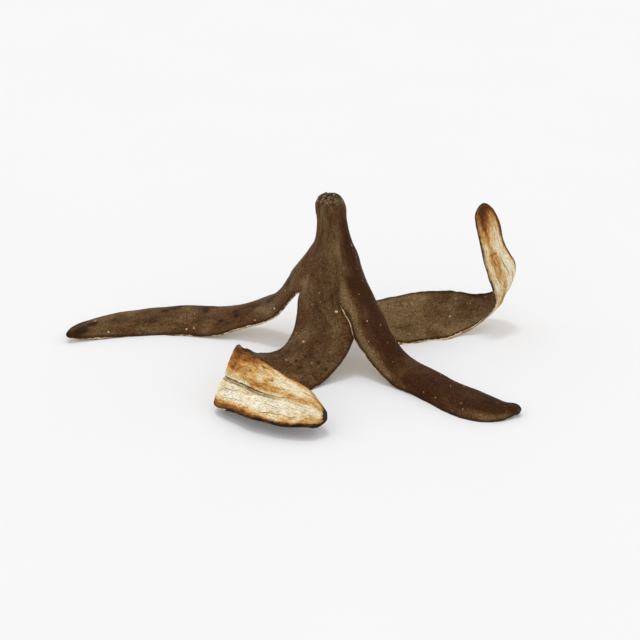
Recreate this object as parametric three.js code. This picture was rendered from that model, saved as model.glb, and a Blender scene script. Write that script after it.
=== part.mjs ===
// Dried banana peel standing on its own strips: one closed solid.
// A stem runs down into a hollow crown, and the crown is slit into four strips
// that spread over the floor, one of them folded back and one curled upward.
// Millimetres, +Z up, X across the front, floor at Z = 0.

import * as THREE from 'three';

// ---------------------------------------------------------------- sizes ---

// Stem and crown, from the cut end downward: skin radius and height above the floor.
const CROWN_PROFILE = [
  [0, 86.5],
  [4, 86],
  [6.6, 83.5],
  [7.6, 79],
  [7.4, 74],
  [8, 68],
  [9.6, 61],
  [12.1, 54.8],
  [14, 47.5],
  [16.3, 40.7],
  [18.7, 32.8],
  [21, 26],
  [23, 20],
];

// The stem leans to one side above this height, by this much at the cut end.
const LEAN_FROM = 60;
const LEAN_BY = -2;

// Wall of the peel in the middle of a strip, and its shares at a border and at a tip.
const SKIN_THICKNESS = 2;
const BORDER_SHARE = 0.62;
const TIP_SHARE = 0.55;
const TIP_THINNING_LENGTH = 12;
const BORDER_THINNING_WIDTH = 0.35;

// The stem is solid; the hollow starts this far from the cut end along the skin
// and reaches its full width over the next stretch.
const HOLLOW_START = 37;
const HOLLOW_RUN = 12;

// Length over which a strip passes from the round crown to its own course.
const LEAVING_LENGTH = 14;

// A strip rounds off over its `rounding` length and ends this wide.
const TIP_WIDTH = 1;

// The borders settle this far, so the peel rests on small flat spots.
const SETTLE = 0.5;

// Slit before each strip: where it opens, measured along the skin from the cut end.
const SLIT_STARTS = [52, 52, 54.5, 53];

// A strip lies between two slits, at these angles seen from above (anticlockwise
// from +X). Its middle starts to leave the crown at `leaves`. Each station gives
// the two borders of the strip and the angle that the skin arches through between
// them: positive bulges outward, negative is hollowed.
const STRIPS = [
  {
    name: 'left strip, flat on the floor',
    from: 110,
    to: 200,
    leaves: 25,
    rounding: 3.5,
    stations: [
      [[-14, 17, 41], [-17.5, -5, 38.5], 112],
      [[-18.5, 19, 35.5], [-20, -2, 33], 100],
      [[-22.5, 21, 30], [-24, 0, 27], 85],
      [[-28, 23.5, 24], [-30.5, 3, 18.5], 75],
      [[-37, 28, 18], [-38, 7, 12.3], 65],
      [[-49, 31, 13], [-48, 11, 7.3], 68],
      [[-60, 34, 10.5], [-58.5, 12, 3.6], 75],
      [[-76, 38.5, 9], [-75, 15, 1], 85],
      [[-92, 39, 7.2], [-91, 17, 0.8], 95],
      [[-105, 37, 6.5], [-104, 15.5, 0.6], 95],
      [[-116, 33, 6.8], [-116, 13.5, 1.2], 90],
      [[-128, 25, 6.8], [-128, 10.5, 2], 85],
      [[-135, 19.5, 6.8], [-135, 8.3, 3.1], 82],
      [[-140, 13, 6.4], [-140, 6.8, 3.8], 80],
    ],
  },
  {
    name: 'front strip, folded back over itself',
    from: 200,
    to: 279,
    leaves: 42,
    rounding: 7,
    stations: [
      [[-18.5, -8, 35.5], [5.2, -18.3, 34.5], 75],
      [[-18.9, -10, 28.7], [8.7, -20.5, 29], 70],
      [[-19.4, -12, 22.4], [10.5, -24.5, 22.5], 60],
      [[-21.7, -14, 16.3], [9.5, -28.3, 17.5], 55],
      [[-24.7, -16.5, 12.7], [6, -32, 12.5], 50],
      [[-27.7, -19.5, 11.2], [1.5, -35.5, 8], 45],
      [[-31, -23.5, 11], [-4.5, -40.5, 3.5], 35],
      [[-35.3, -29, 13.5], [-12, -46.5, 1.5], 25],
      [[-39, -37, 18], [-24, -54, 1], 15],
      [[-42, -45, 23.3], [-40, -61, 1], 10],
      [[-44.5, -50.5, 27.2], [-51, -64.5, 1.5], 5],
      [[-45.7, -53, 29], [-56.5, -66.5, 4], 0],
      [[-44.5, -55, 28.6], [-55, -70.3, 4.4], -5],
      [[-37.5, -58, 25.5], [-46, -78, 5.2], -15],
      [[-31, -62, 22.3], [-38.5, -85.1, 5.3], -25],
      [[-25.5, -65, 19.8], [-30.5, -89.7, 5.5], -30],
      [[-18, -69, 17.2], [-22.5, -92.2, 5.6], -40],
      [[-12.5, -73, 15.2], [-15.5, -93.4, 5.6], -50],
      [[-8.5, -77, 12.3], [-9, -92.9, 5.6], -60],
      [[-4, -83, 9.2], [-3.5, -91, 5.4], -60],
    ],
  },
  {
    name: 'right front strip, arched',
    from: 279,
    to: 373,
    leaves: 42,
    rounding: 7,
    stations: [
      [[5.8, -21, 33.3], [20, 0, 33], 95],
      [[7.8, -24.7, 27.5], [23, -4, 27.5], 105],
      [[9.6, -27.8, 22.3], [26, -7.5, 22.5], 110],
      [[12, -29.5, 18], [28.5, -11, 18.5], 110],
      [[15.3, -32, 13.3], [31.5, -14.5, 14.5], 110],
      [[20, -36, 8.2], [35, -19, 11], 110],
      [[26.8, -41.5, 3.2], [40, -25, 8.5], 115],
      [[33.5, -47, 1], [45.5, -29.5, 6.5], 120],
      [[43, -56, 0.6], [54.5, -38.5, 6], 120],
      [[52, -66.5, 0.6], [63, -48.5, 5.5], 118],
      [[61, -75, 0.6], [70.5, -56, 5.5], 115],
      [[70, -78.5, 0.6], [78, -61.5, 5], 112],
      [[78, -78, 1], [83.5, -65, 4.5], 108],
      [[84, -75.5, 1.5], [88.5, -66.5, 5], 100],
      [[87.5, -73.5, 2], [91, -68.3, 4.6], 95],
    ],
  },
  {
    name: 'back strip, curled upward',
    from: 13,
    to: 110,
    leaves: 44,
    rounding: 7,
    stations: [
      [[18.5, 4.5, 32], [-3, 19, 37], 85],
      [[20, 5, 25], [1, 22.5, 32], 70],
      [[22, 5, 17], [7, 24.5, 26.5], 60],
      [[26, 4.5, 9.5], [14, 25, 21], 50],
      [[31, 4.5, 3.5], [22, 24, 18.8], 40],
      [[38, 5.5, 0.8], [31, 23.5, 20.3], 35],
      [[44, 7, 0.6], [41, 23.5, 23.2], 30],
      [[51.5, 10.5, 0.6], [51, 26, 23], 20],
      [[60, 11, 1], [60, 29, 21.5], 0],
      [[68, 15.5, 2.8], [67.5, 33, 19.5], -35],
      [[75, 18.5, 6], [75.5, 37, 16.5], -55],
      [[80.5, 20.5, 10.5], [82.5, 39, 16.3], -65],
      [[84, 21.5, 15.5], [88.5, 39, 19], -60],
      [[84.5, 20.5, 21], [93, 36, 25.5], -55],
      [[83, 18.5, 28.5], [95.5, 33, 32], -55],
      [[80, 18, 35], [95, 31, 38], -45],
      [[77.5, 18.5, 41.5], [92, 31, 42.5], -35],
      [[76, 20, 48], [88.5, 32, 48.5], -30],
      [[74.5, 23.5, 56], [86.5, 33, 56.5], -30],
      [[73.2, 27, 63], [84.5, 33, 63], -35],
      [[73.4, 28.8, 70], [82, 33.1, 70.5], -40],
    ],
  },
];

// Fineness of the solid.
const COLUMNS = 8;
const CROWN_ROWS = [3, 5.5, 8, 12, 17, 23, 29, 33, 37, 39, 42, 46, 49, 52, 53, 54.5];
const ROWS_PER_STATION = 2.3;
const TIP_ROWS = [0.45, 0.8, 1];
const TABLE_STEPS = 1200;

// -------------------------------------------------------------- helpers ---

function smooth(value) {
  const x = THREE.MathUtils.clamp(value, 0, 1);
  return x * x * (3 - 2 * x);
}

// Reads a rising table of positions at a value, with straight runs in between.
function readTable(keys, values, key) {
  let low = 0;
  let high = keys.length - 1;
  while (high - low > 1) {
    const middle = (low + high) >> 1;
    if (keys[middle] <= key) {
      low = middle;
    } else {
      high = middle;
    }
  }
  const share = THREE.MathUtils.clamp((key - keys[low]) / (keys[high] - keys[low]), 0, 1);
  return values[low] + (values[high] - values[low]) * share;
}

function curveThrough(points) {
  const vectors = points.map((p) => new THREE.Vector3(p[0], p[1], p[2]));
  return new THREE.CatmullRomCurve3(vectors, false, 'centripetal');
}

// ---------------------------------------------------------------- crown ---

// The crown's profile, read by its length along the skin from the cut end.
const profileCurve = curveThrough(CROWN_PROFILE.map(([radius, height]) => [radius, height, 0]));
const profileLengths = [0];
const profileRadii = [profileCurve.getPoint(0).x];
const profileHeights = [profileCurve.getPoint(0).y];
for (let step = 1; step <= TABLE_STEPS; step += 1) {
  const point = profileCurve.getPoint(step / TABLE_STEPS);
  const radius = profileRadii[step - 1];
  const height = profileHeights[step - 1];
  profileLengths.push(profileLengths[step - 1] + Math.hypot(point.x - radius, point.y - height));
  profileRadii.push(point.x);
  profileHeights.push(point.y);
}

function crownHeight(length) {
  return readTable(profileLengths, profileHeights, length);
}

function crownPoint(length, angle, depth) {
  const height = crownHeight(length);
  const radius = Math.max(readTable(profileLengths, profileRadii, length) - depth, 0);
  const rise = THREE.MathUtils.clamp((height - LEAN_FROM) / (CROWN_PROFILE[0][1] - LEAN_FROM), 0, 1);
  const lean = LEAN_BY * rise ** 1.5;
  return new THREE.Vector3(lean + radius * Math.cos(angle), radius * Math.sin(angle), height);
}

// --------------------------------------------------------------- strips ---

// Turns a strip's stations into curves for both borders and for the arch. Two
// stations on the crown come first, so that the strip leaves it without a step.
function layOut(strip) {
  const from = THREE.MathUtils.degToRad(strip.from);
  const to = THREE.MathUtils.degToRad(strip.to);
  const first = [];
  const second = [];
  const arches = [];
  for (const length of [strip.leaves, strip.leaves + 4]) {
    first.push(crownPoint(length, from, 0).toArray());
    second.push(crownPoint(length, to, 0).toArray());
    arches.push([to - from, 0, 0]);
  }
  for (const [one, other, arch] of strip.stations) {
    first.push(one);
    second.push(other);
    arches.push([THREE.MathUtils.degToRad(arch), 0, 0]);
  }
  const firstBorder = curveThrough(first);
  const secondBorder = curveThrough(second);
  const archCurve = curveThrough(arches);
  const middle = (t) => firstBorder.getPoint(t).add(secondBorder.getPoint(t)).multiplyScalar(0.5);
  const lengths = [strip.leaves];
  const places = [0];
  let last = middle(0);
  for (let step = 1; step <= TABLE_STEPS; step += 1) {
    const next = middle(step / TABLE_STEPS);
    lengths.push(lengths[step - 1] + next.distanceTo(last));
    places.push(step / TABLE_STEPS);
    last = next;
  }
  return {
    from,
    to,
    leaves: strip.leaves,
    rounding: strip.rounding,
    firstBorder,
    secondBorder,
    archCurve,
    middle,
    lengths,
    places,
    spans: first.length - 1,
    end: lengths[TABLE_STEPS],
  };
}

const laidOut = STRIPS.map(layOut);

// A point of a strip on its own course: a circular arc between the two borders,
// drawn inward by the depth.
function coursePoint(strip, length, across, depth) {
  const t = readTable(strip.lengths, strip.places, length);
  const step = 0.02 / strip.spans;
  const ahead = strip.middle(Math.min(t + step, 1));
  const behind = strip.middle(Math.max(t - step, 0));
  const along = ahead.sub(behind).normalize();
  const chord = strip.secondBorder.getPoint(t).sub(strip.firstBorder.getPoint(t));
  const fullWidth = chord.length();
  const side = chord.normalize();
  const outward = along.cross(side).normalize();
  const left = THREE.MathUtils.clamp((strip.end - length) / strip.rounding, 0, 1);
  const rounding = Math.sqrt(Math.max(1 - (1 - left) ** 2, 0));
  const width = Math.max(fullWidth * rounding, TIP_WIDTH);
  const bend = strip.archCurve.getPoint(t).x;
  const arch = Math.abs(bend) < 0.05 ? 0.05 : bend;
  const radius = width / 2 / Math.sin(arch / 2);
  const angle = (across * arch) / 2;
  const rise = (radius - depth) * Math.cos(angle) - radius * Math.cos(arch / 2);
  return strip
    .middle(t)
    .addScaledVector(side, (radius - depth) * Math.sin(angle))
    .addScaledVector(outward, rise);
}

// A point of the peel: on the round crown at first, on the strip's own course
// after the slit. The middle of a strip leaves the crown before its borders do.
function peelPoint(index, length, across, depth) {
  const strip = laidOut[index];
  const slit = across < 0 ? SLIT_STARTS[index] : SLIT_STARTS[(index + 1) % STRIPS.length];
  const start = strip.leaves + (slit - strip.leaves) * across * across;
  const leaving = smooth((length - start) / LEAVING_LENGTH);
  const angle = (strip.from + strip.to) / 2 + (across * (strip.to - strip.from)) / 2;
  const point = crownPoint(length, angle, depth);
  if (leaving > 0) {
    point.lerp(coursePoint(strip, length, across, depth), leaving);
  }
  return point;
}

function thicknessAt(index, length, across) {
  const fromBorder = (1 - Math.abs(across)) / BORDER_THINNING_WIDTH;
  const fromTip = (laidOut[index].end - length) / TIP_THINNING_LENGTH;
  const border = BORDER_SHARE + (1 - BORDER_SHARE) * smooth(fromBorder);
  const tip = TIP_SHARE + (1 - TIP_SHARE) * smooth(fromTip);
  return SKIN_THICKNESS * border * tip;
}

function settle(point) {
  point.z = Math.max(point.z - SETTLE, 0);
  return point;
}

function outerPoint(index, length, across) {
  return settle(peelPoint(index, length, across, 0));
}

// The inner side keeps to the wall's thickness, but closes to a point on the
// stem's axis where the hollow starts.
function innerPoint(index, length, across) {
  const point = peelPoint(index, length, across, thicknessAt(index, length, across));
  const run = THREE.MathUtils.clamp((length - HOLLOW_START) / HOLLOW_RUN, 0, 1);
  const axis = new THREE.Vector3(0, 0, crownHeight(length));
  return settle(axis.lerp(point, Math.sin((run * Math.PI) / 2)));
}

// ----------------------------------------------------------------- body ---

// Rows of a strip, as lengths along the skin: shared rows on the crown, then rows
// that follow the stations, then a few close together round the tip.
function rowsOf(index) {
  const strip = laidOut[index];
  const lastCrownRow = CROWN_ROWS[CROWN_ROWS.length - 1];
  const tipStart = strip.end - strip.rounding;
  const tStart = readTable(strip.lengths, strip.places, lastCrownRow);
  const tEnd = readTable(strip.lengths, strip.places, tipStart);
  const count = Math.round((tEnd - tStart) * strip.spans * ROWS_PER_STATION);
  const rows = [...CROWN_ROWS];
  for (let step = 1; step <= count; step += 1) {
    const t = tStart + ((tEnd - tStart) * step) / count;
    rows.push(readTable(strip.places, strip.lengths, t));
  }
  for (const share of TIP_ROWS) {
    rows.push(tipStart + strip.rounding * share);
  }
  return rows;
}

const positions = [];
const triangles = [];

function addVertex(point) {
  positions.push(point.x, point.y, point.z);
  return positions.length / 3 - 1;
}

function addQuad(a, b, c, d) {
  triangles.push(a, b, c, a, c, d);
}

const outerPole = addVertex(settle(crownPoint(0, 0, 0)));
const innerPole = addVertex(settle(new THREE.Vector3(0, 0, crownHeight(HOLLOW_START))));
const rows = laidOut.map((strip, index) => rowsOf(index));
const outerGrid = [];
const innerGrid = [];

// Every strip makes the vertices of its own columns. The last column belongs to
// the next strip for as long as the slit between them is closed.
for (let index = 0; index < STRIPS.length; index += 1) {
  const nextSlit = SLIT_STARTS[(index + 1) % STRIPS.length];
  outerGrid.push([]);
  innerGrid.push([]);
  for (const length of rows[index]) {
    const outerRow = [];
    const innerRow = [];
    for (let column = 0; column <= COLUMNS; column += 1) {
      const across = (2 * column) / COLUMNS - 1;
      const shared = column === COLUMNS && length <= nextSlit;
      const hollow = length > HOLLOW_START;
      outerRow.push(shared ? null : addVertex(outerPoint(index, length, across)));
      innerRow.push(shared || !hollow ? null : addVertex(innerPoint(index, length, across)));
    }
    outerGrid[index].push(outerRow);
    innerGrid[index].push(innerRow);
  }
}
for (let index = 0; index < STRIPS.length; index += 1) {
  const next = (index + 1) % STRIPS.length;
  rows[index].forEach((length, row) => {
    if (length <= SLIT_STARTS[next]) {
      outerGrid[index][row][COLUMNS] = outerGrid[next][row][0];
      innerGrid[index][row][COLUMNS] = innerGrid[next][row][0];
    }
  });
}

for (let index = 0; index < STRIPS.length; index += 1) {
  const outer = outerGrid[index];
  const inner = innerGrid[index];
  const slits = [SLIT_STARTS[index], SLIT_STARTS[(index + 1) % STRIPS.length]];
  const hollowRow = rows[index].findIndex((length) => length > HOLLOW_START);
  const last = rows[index].length - 1;
  for (let column = 0; column < COLUMNS; column += 1) {
    triangles.push(outerPole, outer[0][column], outer[0][column + 1]);
    triangles.push(innerPole, inner[hollowRow][column + 1], inner[hollowRow][column]);
    for (let row = 0; row < last; row += 1) {
      const [a, b] = [outer[row][column], outer[row][column + 1]];
      const [c, d] = [outer[row + 1][column + 1], outer[row + 1][column]];
      addQuad(a, d, c, b);
      if (row >= hollowRow) {
        const [e, f] = [inner[row][column], inner[row][column + 1]];
        const [g, h] = [inner[row + 1][column + 1], inner[row + 1][column]];
        addQuad(e, f, g, h);
      }
    }
    addQuad(outer[last][column], inner[last][column], inner[last][column + 1], outer[last][column + 1]);
  }
  for (let row = hollowRow; row < last; row += 1) {
    if (rows[index][row] >= slits[0]) {
      addQuad(outer[row][0], inner[row][0], inner[row + 1][0], outer[row + 1][0]);
    }
    if (rows[index][row] >= slits[1]) {
      addQuad(outer[row + 1][COLUMNS], inner[row + 1][COLUMNS], inner[row][COLUMNS], outer[row][COLUMNS]);
    }
  }
}

const geometry = new THREE.BufferGeometry();
geometry.setAttribute('position', new THREE.Float32BufferAttribute(positions, 3));
geometry.setIndex(triangles);
geometry.computeBoundingBox();
const centre = geometry.boundingBox.getCenter(new THREE.Vector3());
geometry.translate(-centre.x, -centre.y, -geometry.boundingBox.min.z);
geometry.computeVertexNormals();

const skin = new THREE.MeshStandardMaterial({ color: 0x4a3624, roughness: 0.75, metalness: 0 });
skin.name = 'skin';

const peel = new THREE.Mesh(geometry, skin);
peel.name = 'peel';

const group = new THREE.Group();
group.name = 'banana_peel';
group.add(peel);

export default group;
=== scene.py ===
import bpy
import numpy as np
from bpy.props import FloatProperty, FloatVectorProperty, IntProperty, PointerProperty
from mathutils import Matrix, Vector


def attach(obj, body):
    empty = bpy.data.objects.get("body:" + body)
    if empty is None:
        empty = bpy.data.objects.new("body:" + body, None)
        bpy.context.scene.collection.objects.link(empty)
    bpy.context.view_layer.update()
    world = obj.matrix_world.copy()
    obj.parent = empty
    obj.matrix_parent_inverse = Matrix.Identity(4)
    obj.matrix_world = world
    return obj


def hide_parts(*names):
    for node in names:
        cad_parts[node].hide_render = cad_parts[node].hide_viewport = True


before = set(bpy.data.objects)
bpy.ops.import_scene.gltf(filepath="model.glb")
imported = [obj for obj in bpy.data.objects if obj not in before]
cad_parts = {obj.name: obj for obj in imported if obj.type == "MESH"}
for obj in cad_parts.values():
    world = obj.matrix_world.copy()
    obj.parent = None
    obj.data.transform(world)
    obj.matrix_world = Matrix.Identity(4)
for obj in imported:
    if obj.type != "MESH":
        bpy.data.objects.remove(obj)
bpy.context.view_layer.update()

bl_info = {
    "name": "Dried Banana Peel",
    "version": (1, 0, 0),
    "blender": (4, 5, 0),
    "location": "View3D > Sidebar > Peel",
    "description": "Builds a dried banana peel around its packed frame",
    "category": "Object",
}

MM = 0.001

# ------------------------------------------------------------------ shape ---
# Millimetres, with the stem's axis at X = Y = 0 and the floor at Z = 0.

# Stem and crown, from the cut end downward: skin radius and height.
CROWN_PROFILE = (
    (0, 86.5), (4, 86), (6.6, 83.5), (7.6, 79), (7.4, 74), (8, 68), (9.6, 61),
    (12.1, 54.8), (14, 47.5), (16.3, 40.7), (18.7, 32.8), (21, 26), (23, 20),
)
# The stem leans aside above this height, and by this much at its top.
LEAN_FROM = 60
LEAN_BY = -2
# The wall thins to these shares, over this part of the half width and this length.
BORDER_SHARE = 0.62
BORDER_THINNING_WIDTH = 0.35
TIP_SHARE = 0.55
TIP_THINNING_LENGTH = 12
# The crown's hollow starts at this length from the stem's end, and widens over this run.
HOLLOW_START = 37
HOLLOW_RUN = 12
# Below its slit a strip takes this length to leave the round crown for its own course.
LEAVING_LENGTH = 14
# Narrowest width of a strip, at its very tip.
TIP_WIDTH = 1
# The whole peel is set this far down, and what would pass the floor is pressed flat.
SETTLE = 0.5
# Where the four slits open, the first one before the left strip, and how soon they gape.
SLIT_STARTS = (52, 52, 54.5, 53)
SLIT_OPENING = 9
# Radius at which the grain of the skin is laid out round the fruit.
GRAIN_RADIUS = 18
TABLE_STEPS = 1600
# Distances stored on the mesh stop here on both sides.
FAR = 9.0

# Each strip lies between two slits, at these angles seen from above. A station
# gives its two borders and the angle its skin arches through between them.
STRIPS = (
    {
        "from": 110, "to": 200, "leaves": 25, "rounding": 3.5,
        "stations": (
            ((-14, 17, 41), (-17.5, -5, 38.5), 112),
            ((-18.5, 19, 35.5), (-20, -2, 33), 100),
            ((-22.5, 21, 30), (-24, 0, 27), 85),
            ((-28, 23.5, 24), (-30.5, 3, 18.5), 75),
            ((-37, 28, 18), (-38, 7, 12.3), 65),
            ((-49, 31, 13), (-48, 11, 7.3), 68),
            ((-60, 34, 10.5), (-58.5, 12, 3.6), 75),
            ((-76, 38.5, 9), (-75, 15, 1), 85),
            ((-92, 39, 7.2), (-91, 17, 0.8), 95),
            ((-105, 37, 6.5), (-104, 15.5, 0.6), 95),
            ((-116, 33, 6.8), (-116, 13.5, 1.2), 90),
            ((-128, 25, 6.8), (-128, 10.5, 2), 85),
            ((-135, 19.5, 6.8), (-135, 8.3, 3.1), 82),
            ((-140, 13, 6.4), (-140, 6.8, 3.8), 80),
        ),
    },
    {
        "from": 200, "to": 279, "leaves": 42, "rounding": 7,
        "stations": (
            ((-18.5, -8, 35.5), (5.2, -18.3, 34.5), 75),
            ((-18.9, -10, 28.7), (8.7, -20.5, 29), 70),
            ((-19.4, -12, 22.4), (10.5, -24.5, 22.5), 60),
            ((-21.7, -14, 16.3), (9.5, -28.3, 17.5), 55),
            ((-24.7, -16.5, 12.7), (6, -32, 12.5), 50),
            ((-27.7, -19.5, 11.2), (1.5, -35.5, 8), 45),
            ((-31, -23.5, 11), (-4.5, -40.5, 3.5), 35),
            ((-35.3, -29, 13.5), (-12, -46.5, 1.5), 25),
            ((-39, -37, 18), (-24, -54, 1), 15),
            ((-42, -45, 23.3), (-40, -61, 1), 10),
            ((-44.5, -50.5, 27.2), (-51, -64.5, 1.5), 5),
            ((-45.7, -53, 29), (-56.5, -66.5, 4), 0),
            ((-44.5, -55, 28.6), (-55, -70.3, 4.4), -5),
            ((-37.5, -58, 25.5), (-46, -78, 5.2), -15),
            ((-31, -62, 22.3), (-38.5, -85.1, 5.3), -25),
            ((-25.5, -65, 19.8), (-30.5, -89.7, 5.5), -30),
            ((-18, -69, 17.2), (-22.5, -92.2, 5.6), -40),
            ((-12.5, -73, 15.2), (-15.5, -93.4, 5.6), -50),
            ((-8.5, -77, 12.3), (-9, -92.9, 5.6), -60),
            ((-4, -83, 9.2), (-3.5, -91, 5.4), -60),
        ),
    },
    {
        "from": 279, "to": 373, "leaves": 42, "rounding": 7,
        "stations": (
            ((5.8, -21, 33.3), (20, 0, 33), 95),
            ((7.8, -24.7, 27.5), (23, -4, 27.5), 105),
            ((9.6, -27.8, 22.3), (26, -7.5, 22.5), 110),
            ((12, -29.5, 18), (28.5, -11, 18.5), 110),
            ((15.3, -32, 13.3), (31.5, -14.5, 14.5), 110),
            ((20, -36, 8.2), (35, -19, 11), 110),
            ((26.8, -41.5, 3.2), (40, -25, 8.5), 115),
            ((33.5, -47, 1), (45.5, -29.5, 6.5), 120),
            ((43, -56, 0.6), (54.5, -38.5, 6), 120),
            ((52, -66.5, 0.6), (63, -48.5, 5.5), 118),
            ((61, -75, 0.6), (70.5, -56, 5.5), 115),
            ((70, -78.5, 0.6), (78, -61.5, 5), 112),
            ((78, -78, 1), (83.5, -65, 4.5), 108),
            ((84, -75.5, 1.5), (88.5, -66.5, 5), 100),
            ((87.5, -73.5, 2), (91, -68.3, 4.6), 95),
        ),
    },
    {
        "from": 13, "to": 110, "leaves": 44, "rounding": 7,
        "stations": (
            ((18.5, 4.5, 32), (-3, 19, 37), 85),
            ((20, 5, 25), (1, 22.5, 32), 70),
            ((22, 5, 17), (7, 24.5, 26.5), 60),
            ((26, 4.5, 9.5), (14, 25, 21), 50),
            ((31, 4.5, 3.5), (22, 24, 18.8), 40),
            ((38, 5.5, 0.8), (31, 23.5, 20.3), 35),
            ((44, 7, 0.6), (41, 23.5, 23.2), 30),
            ((51.5, 10.5, 0.6), (51, 26, 23), 20),
            ((60, 11, 1), (60, 29, 21.5), 0),
            ((68, 15.5, 2.8), (67.5, 33, 19.5), -35),
            ((75, 18.5, 6), (75.5, 37, 16.5), -55),
            ((80.5, 20.5, 10.5), (82.5, 39, 16.3), -65),
            ((84, 21.5, 15.5), (88.5, 39, 19), -60),
            ((84.5, 20.5, 21), (93, 36, 25.5), -55),
            ((83, 18.5, 28.5), (95.5, 33, 32), -55),
            ((80, 18, 35), (95, 31, 38), -45),
            ((77.5, 18.5, 41.5), (92, 31, 42.5), -35),
            ((76, 20, 48), (88.5, 32, 48.5), -30),
            ((74.5, 23.5, 56), (86.5, 33, 56.5), -30),
            ((73.2, 27, 63), (84.5, 33, 63), -35),
            ((73.4, 28.8, 70), (82, 33.1, 70.5), -40),
        ),
    },
)
LEFT, FOLDED, ARCHED, CURLED = range(4)
ALL_STRIPS = range(len(STRIPS))
# The crease of the folded strip, counted in stations from the crown.
CREASE_PLACE = 13


def smooth(value):
    """Cubic step: 0 below 0, 1 above 1, level at both ends."""
    x = np.clip(value, 0, 1)
    return x * x * (3 - 2 * x)


def rise(value, start, run):
    """Eases from 0 to 1 as the value goes from the start over the run."""
    return smooth((value - start) / run)


def fall(value, end, run):
    """Eases from 1 to 0 over the run, and reaches 0 at the end."""
    return smooth((end - value) / run)


def bell(value, middle, width):
    """Bell curve: 1 at the middle, falling as the exponential of the distance squared."""
    return np.exp(-(((value - middle) / width) ** 2))


def unit(vectors):
    """Each vector divided by its length."""
    return vectors / np.maximum(np.linalg.norm(vectors, axis=-1, keepdims=True), 1e-9)


def centripetal(points, places):
    """Catmull-Rom curve through points, read at places counted in points from the first.

    Each span is a cubic. Its end slopes come from the points on either side, each
    difference divided by the square root of that span's length.
    """
    points = np.asarray(points, float)
    places = np.clip(np.asarray(places, float), 0, len(points) - 1)
    span = np.minimum(places.astype(int), len(points) - 2)
    share = (places - span)[:, None]
    longer = np.vstack([2 * points[0] - points[1], points, 2 * points[-1] - points[-2]])
    p0, p1, p2, p3 = (longer[span + step] for step in range(4))
    d0, d1, d2 = (
        (((b - a) ** 2).sum(1) ** 0.25)[:, None] for a, b in ((p0, p1), (p1, p2), (p2, p3))
    )
    d1 = np.where(d1 < 1e-4, 1, d1)
    d0 = np.where(d0 < 1e-4, d1, d0)
    d2 = np.where(d2 < 1e-4, d1, d2)
    slope1 = ((p1 - p0) / d0 - (p2 - p0) / (d0 + d1) + (p2 - p1) / d1) * d1
    slope2 = ((p2 - p1) / d1 - (p3 - p1) / (d1 + d2) + (p3 - p2) / d2) * d1
    square = -3 * p1 + 3 * p2 - 2 * slope1 - slope2
    cube = 2 * p1 - 2 * p2 + slope1 + slope2
    return p1 + slope1 * share + square * share**2 + cube * share**3


def noise(points, seed):
    """Smooth noise from -1 to 1: random values on a unit lattice, joined by cubic steps."""
    draw = np.random.default_rng(seed)
    order = draw.permutation(256)
    values = draw.uniform(-1, 1, 256)
    cell = np.floor(points).astype(int)
    part = points - cell
    part = part * part * (3 - 2 * part)
    total = np.zeros(points.shape[:-1])
    for corner in np.ndindex(2, 2, 2):
        weight = np.ones(points.shape[:-1])
        index = np.zeros(points.shape[:-1], int)
        for axis, offset in enumerate(corner):
            weight = weight * (part[..., axis] if offset else 1 - part[..., axis])
            index = order[(index + cell[..., axis] + offset) & 255]
        total += weight * values[index]
    return total


def tabulate(curve, places):
    """Lengths along a curve at places, by adding up the steps between its points."""
    steps = np.linalg.norm(np.diff(curve, axis=0), axis=1)
    return np.interp(places, places, np.concatenate([[0], np.cumsum(steps)]))


PROFILE_PLACES = np.linspace(0, len(CROWN_PROFILE) - 1, TABLE_STEPS)
PROFILE_CURVE = centripetal(CROWN_PROFILE, PROFILE_PLACES)
PROFILE_LENGTHS = tabulate(PROFILE_CURVE, PROFILE_PLACES)


def crown_height(length):
    """Height of the crown's skin, by length along it from the cut end."""
    return np.interp(length, PROFILE_LENGTHS, PROFILE_CURVE[:, 1])


def crown_point(length, angle, depth):
    """Round crown: the profile's radius less the depth, turned to the angle.

    Above LEAN_FROM the stem leans aside, by the height's share to the power 1.5.
    """
    height = crown_height(length)
    radius = np.maximum(np.interp(length, PROFILE_LENGTHS, PROFILE_CURVE[:, 0]) - depth, 0)
    rise = np.clip((height - LEAN_FROM) / (CROWN_PROFILE[0][1] - LEAN_FROM), 0, 1)
    return np.stack(
        [
            LEAN_BY * rise**1.5 + radius * np.cos(angle),
            radius * np.sin(angle),
            height + 0 * angle,
        ],
        -1,
    )


def lay_out(strip):
    """A strip's border curves and arch, with a table of the length along its middle."""
    start, end = np.radians(strip["from"]), np.radians(strip["to"])
    on_crown = np.array([strip["leaves"], strip["leaves"] + 4], float)
    first, second = (crown_point(on_crown, np.full(2, angle), 0) for angle in (start, end))
    stations = strip["stations"]
    first = np.vstack([first, [row[0] for row in stations]])
    second = np.vstack([second, [row[1] for row in stations]])
    arch = np.concatenate([[end - start] * 2, np.radians([row[2] for row in stations])])
    places = np.linspace(0, len(first) - 1, TABLE_STEPS)
    middle = (centripetal(first, places) + centripetal(second, places)) / 2
    lengths = tabulate(middle, places) + strip["leaves"]
    heading = unit(np.gradient(middle, axis=0))
    turned = np.linalg.norm(np.diff(heading, axis=0), axis=1)
    return {
        "start": start,
        "end": end,
        "leaves": strip["leaves"],
        "first": first,
        "second": second,
        "arch": arch[:, None],
        "places": places,
        "lengths": lengths,
        "turning": np.concatenate([[0], np.cumsum(turned)]),
        "tip": lengths[-1],
        "rounding": strip["rounding"],
    }


COURSES = tuple(lay_out(strip) for strip in STRIPS)


def to_tip(index, length):
    """Length that is left from here to the strip's tip."""
    return COURSES[index]["tip"] - length


def crease_length():
    """Length along the folded strip at its crease."""
    course = COURSES[FOLDED]
    return float(np.interp(CREASE_PLACE, course["places"], course["lengths"]))


def past_crease(length):
    """Length beyond the folded strip's crease, below 0 before it."""
    return length - crease_length()


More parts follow.
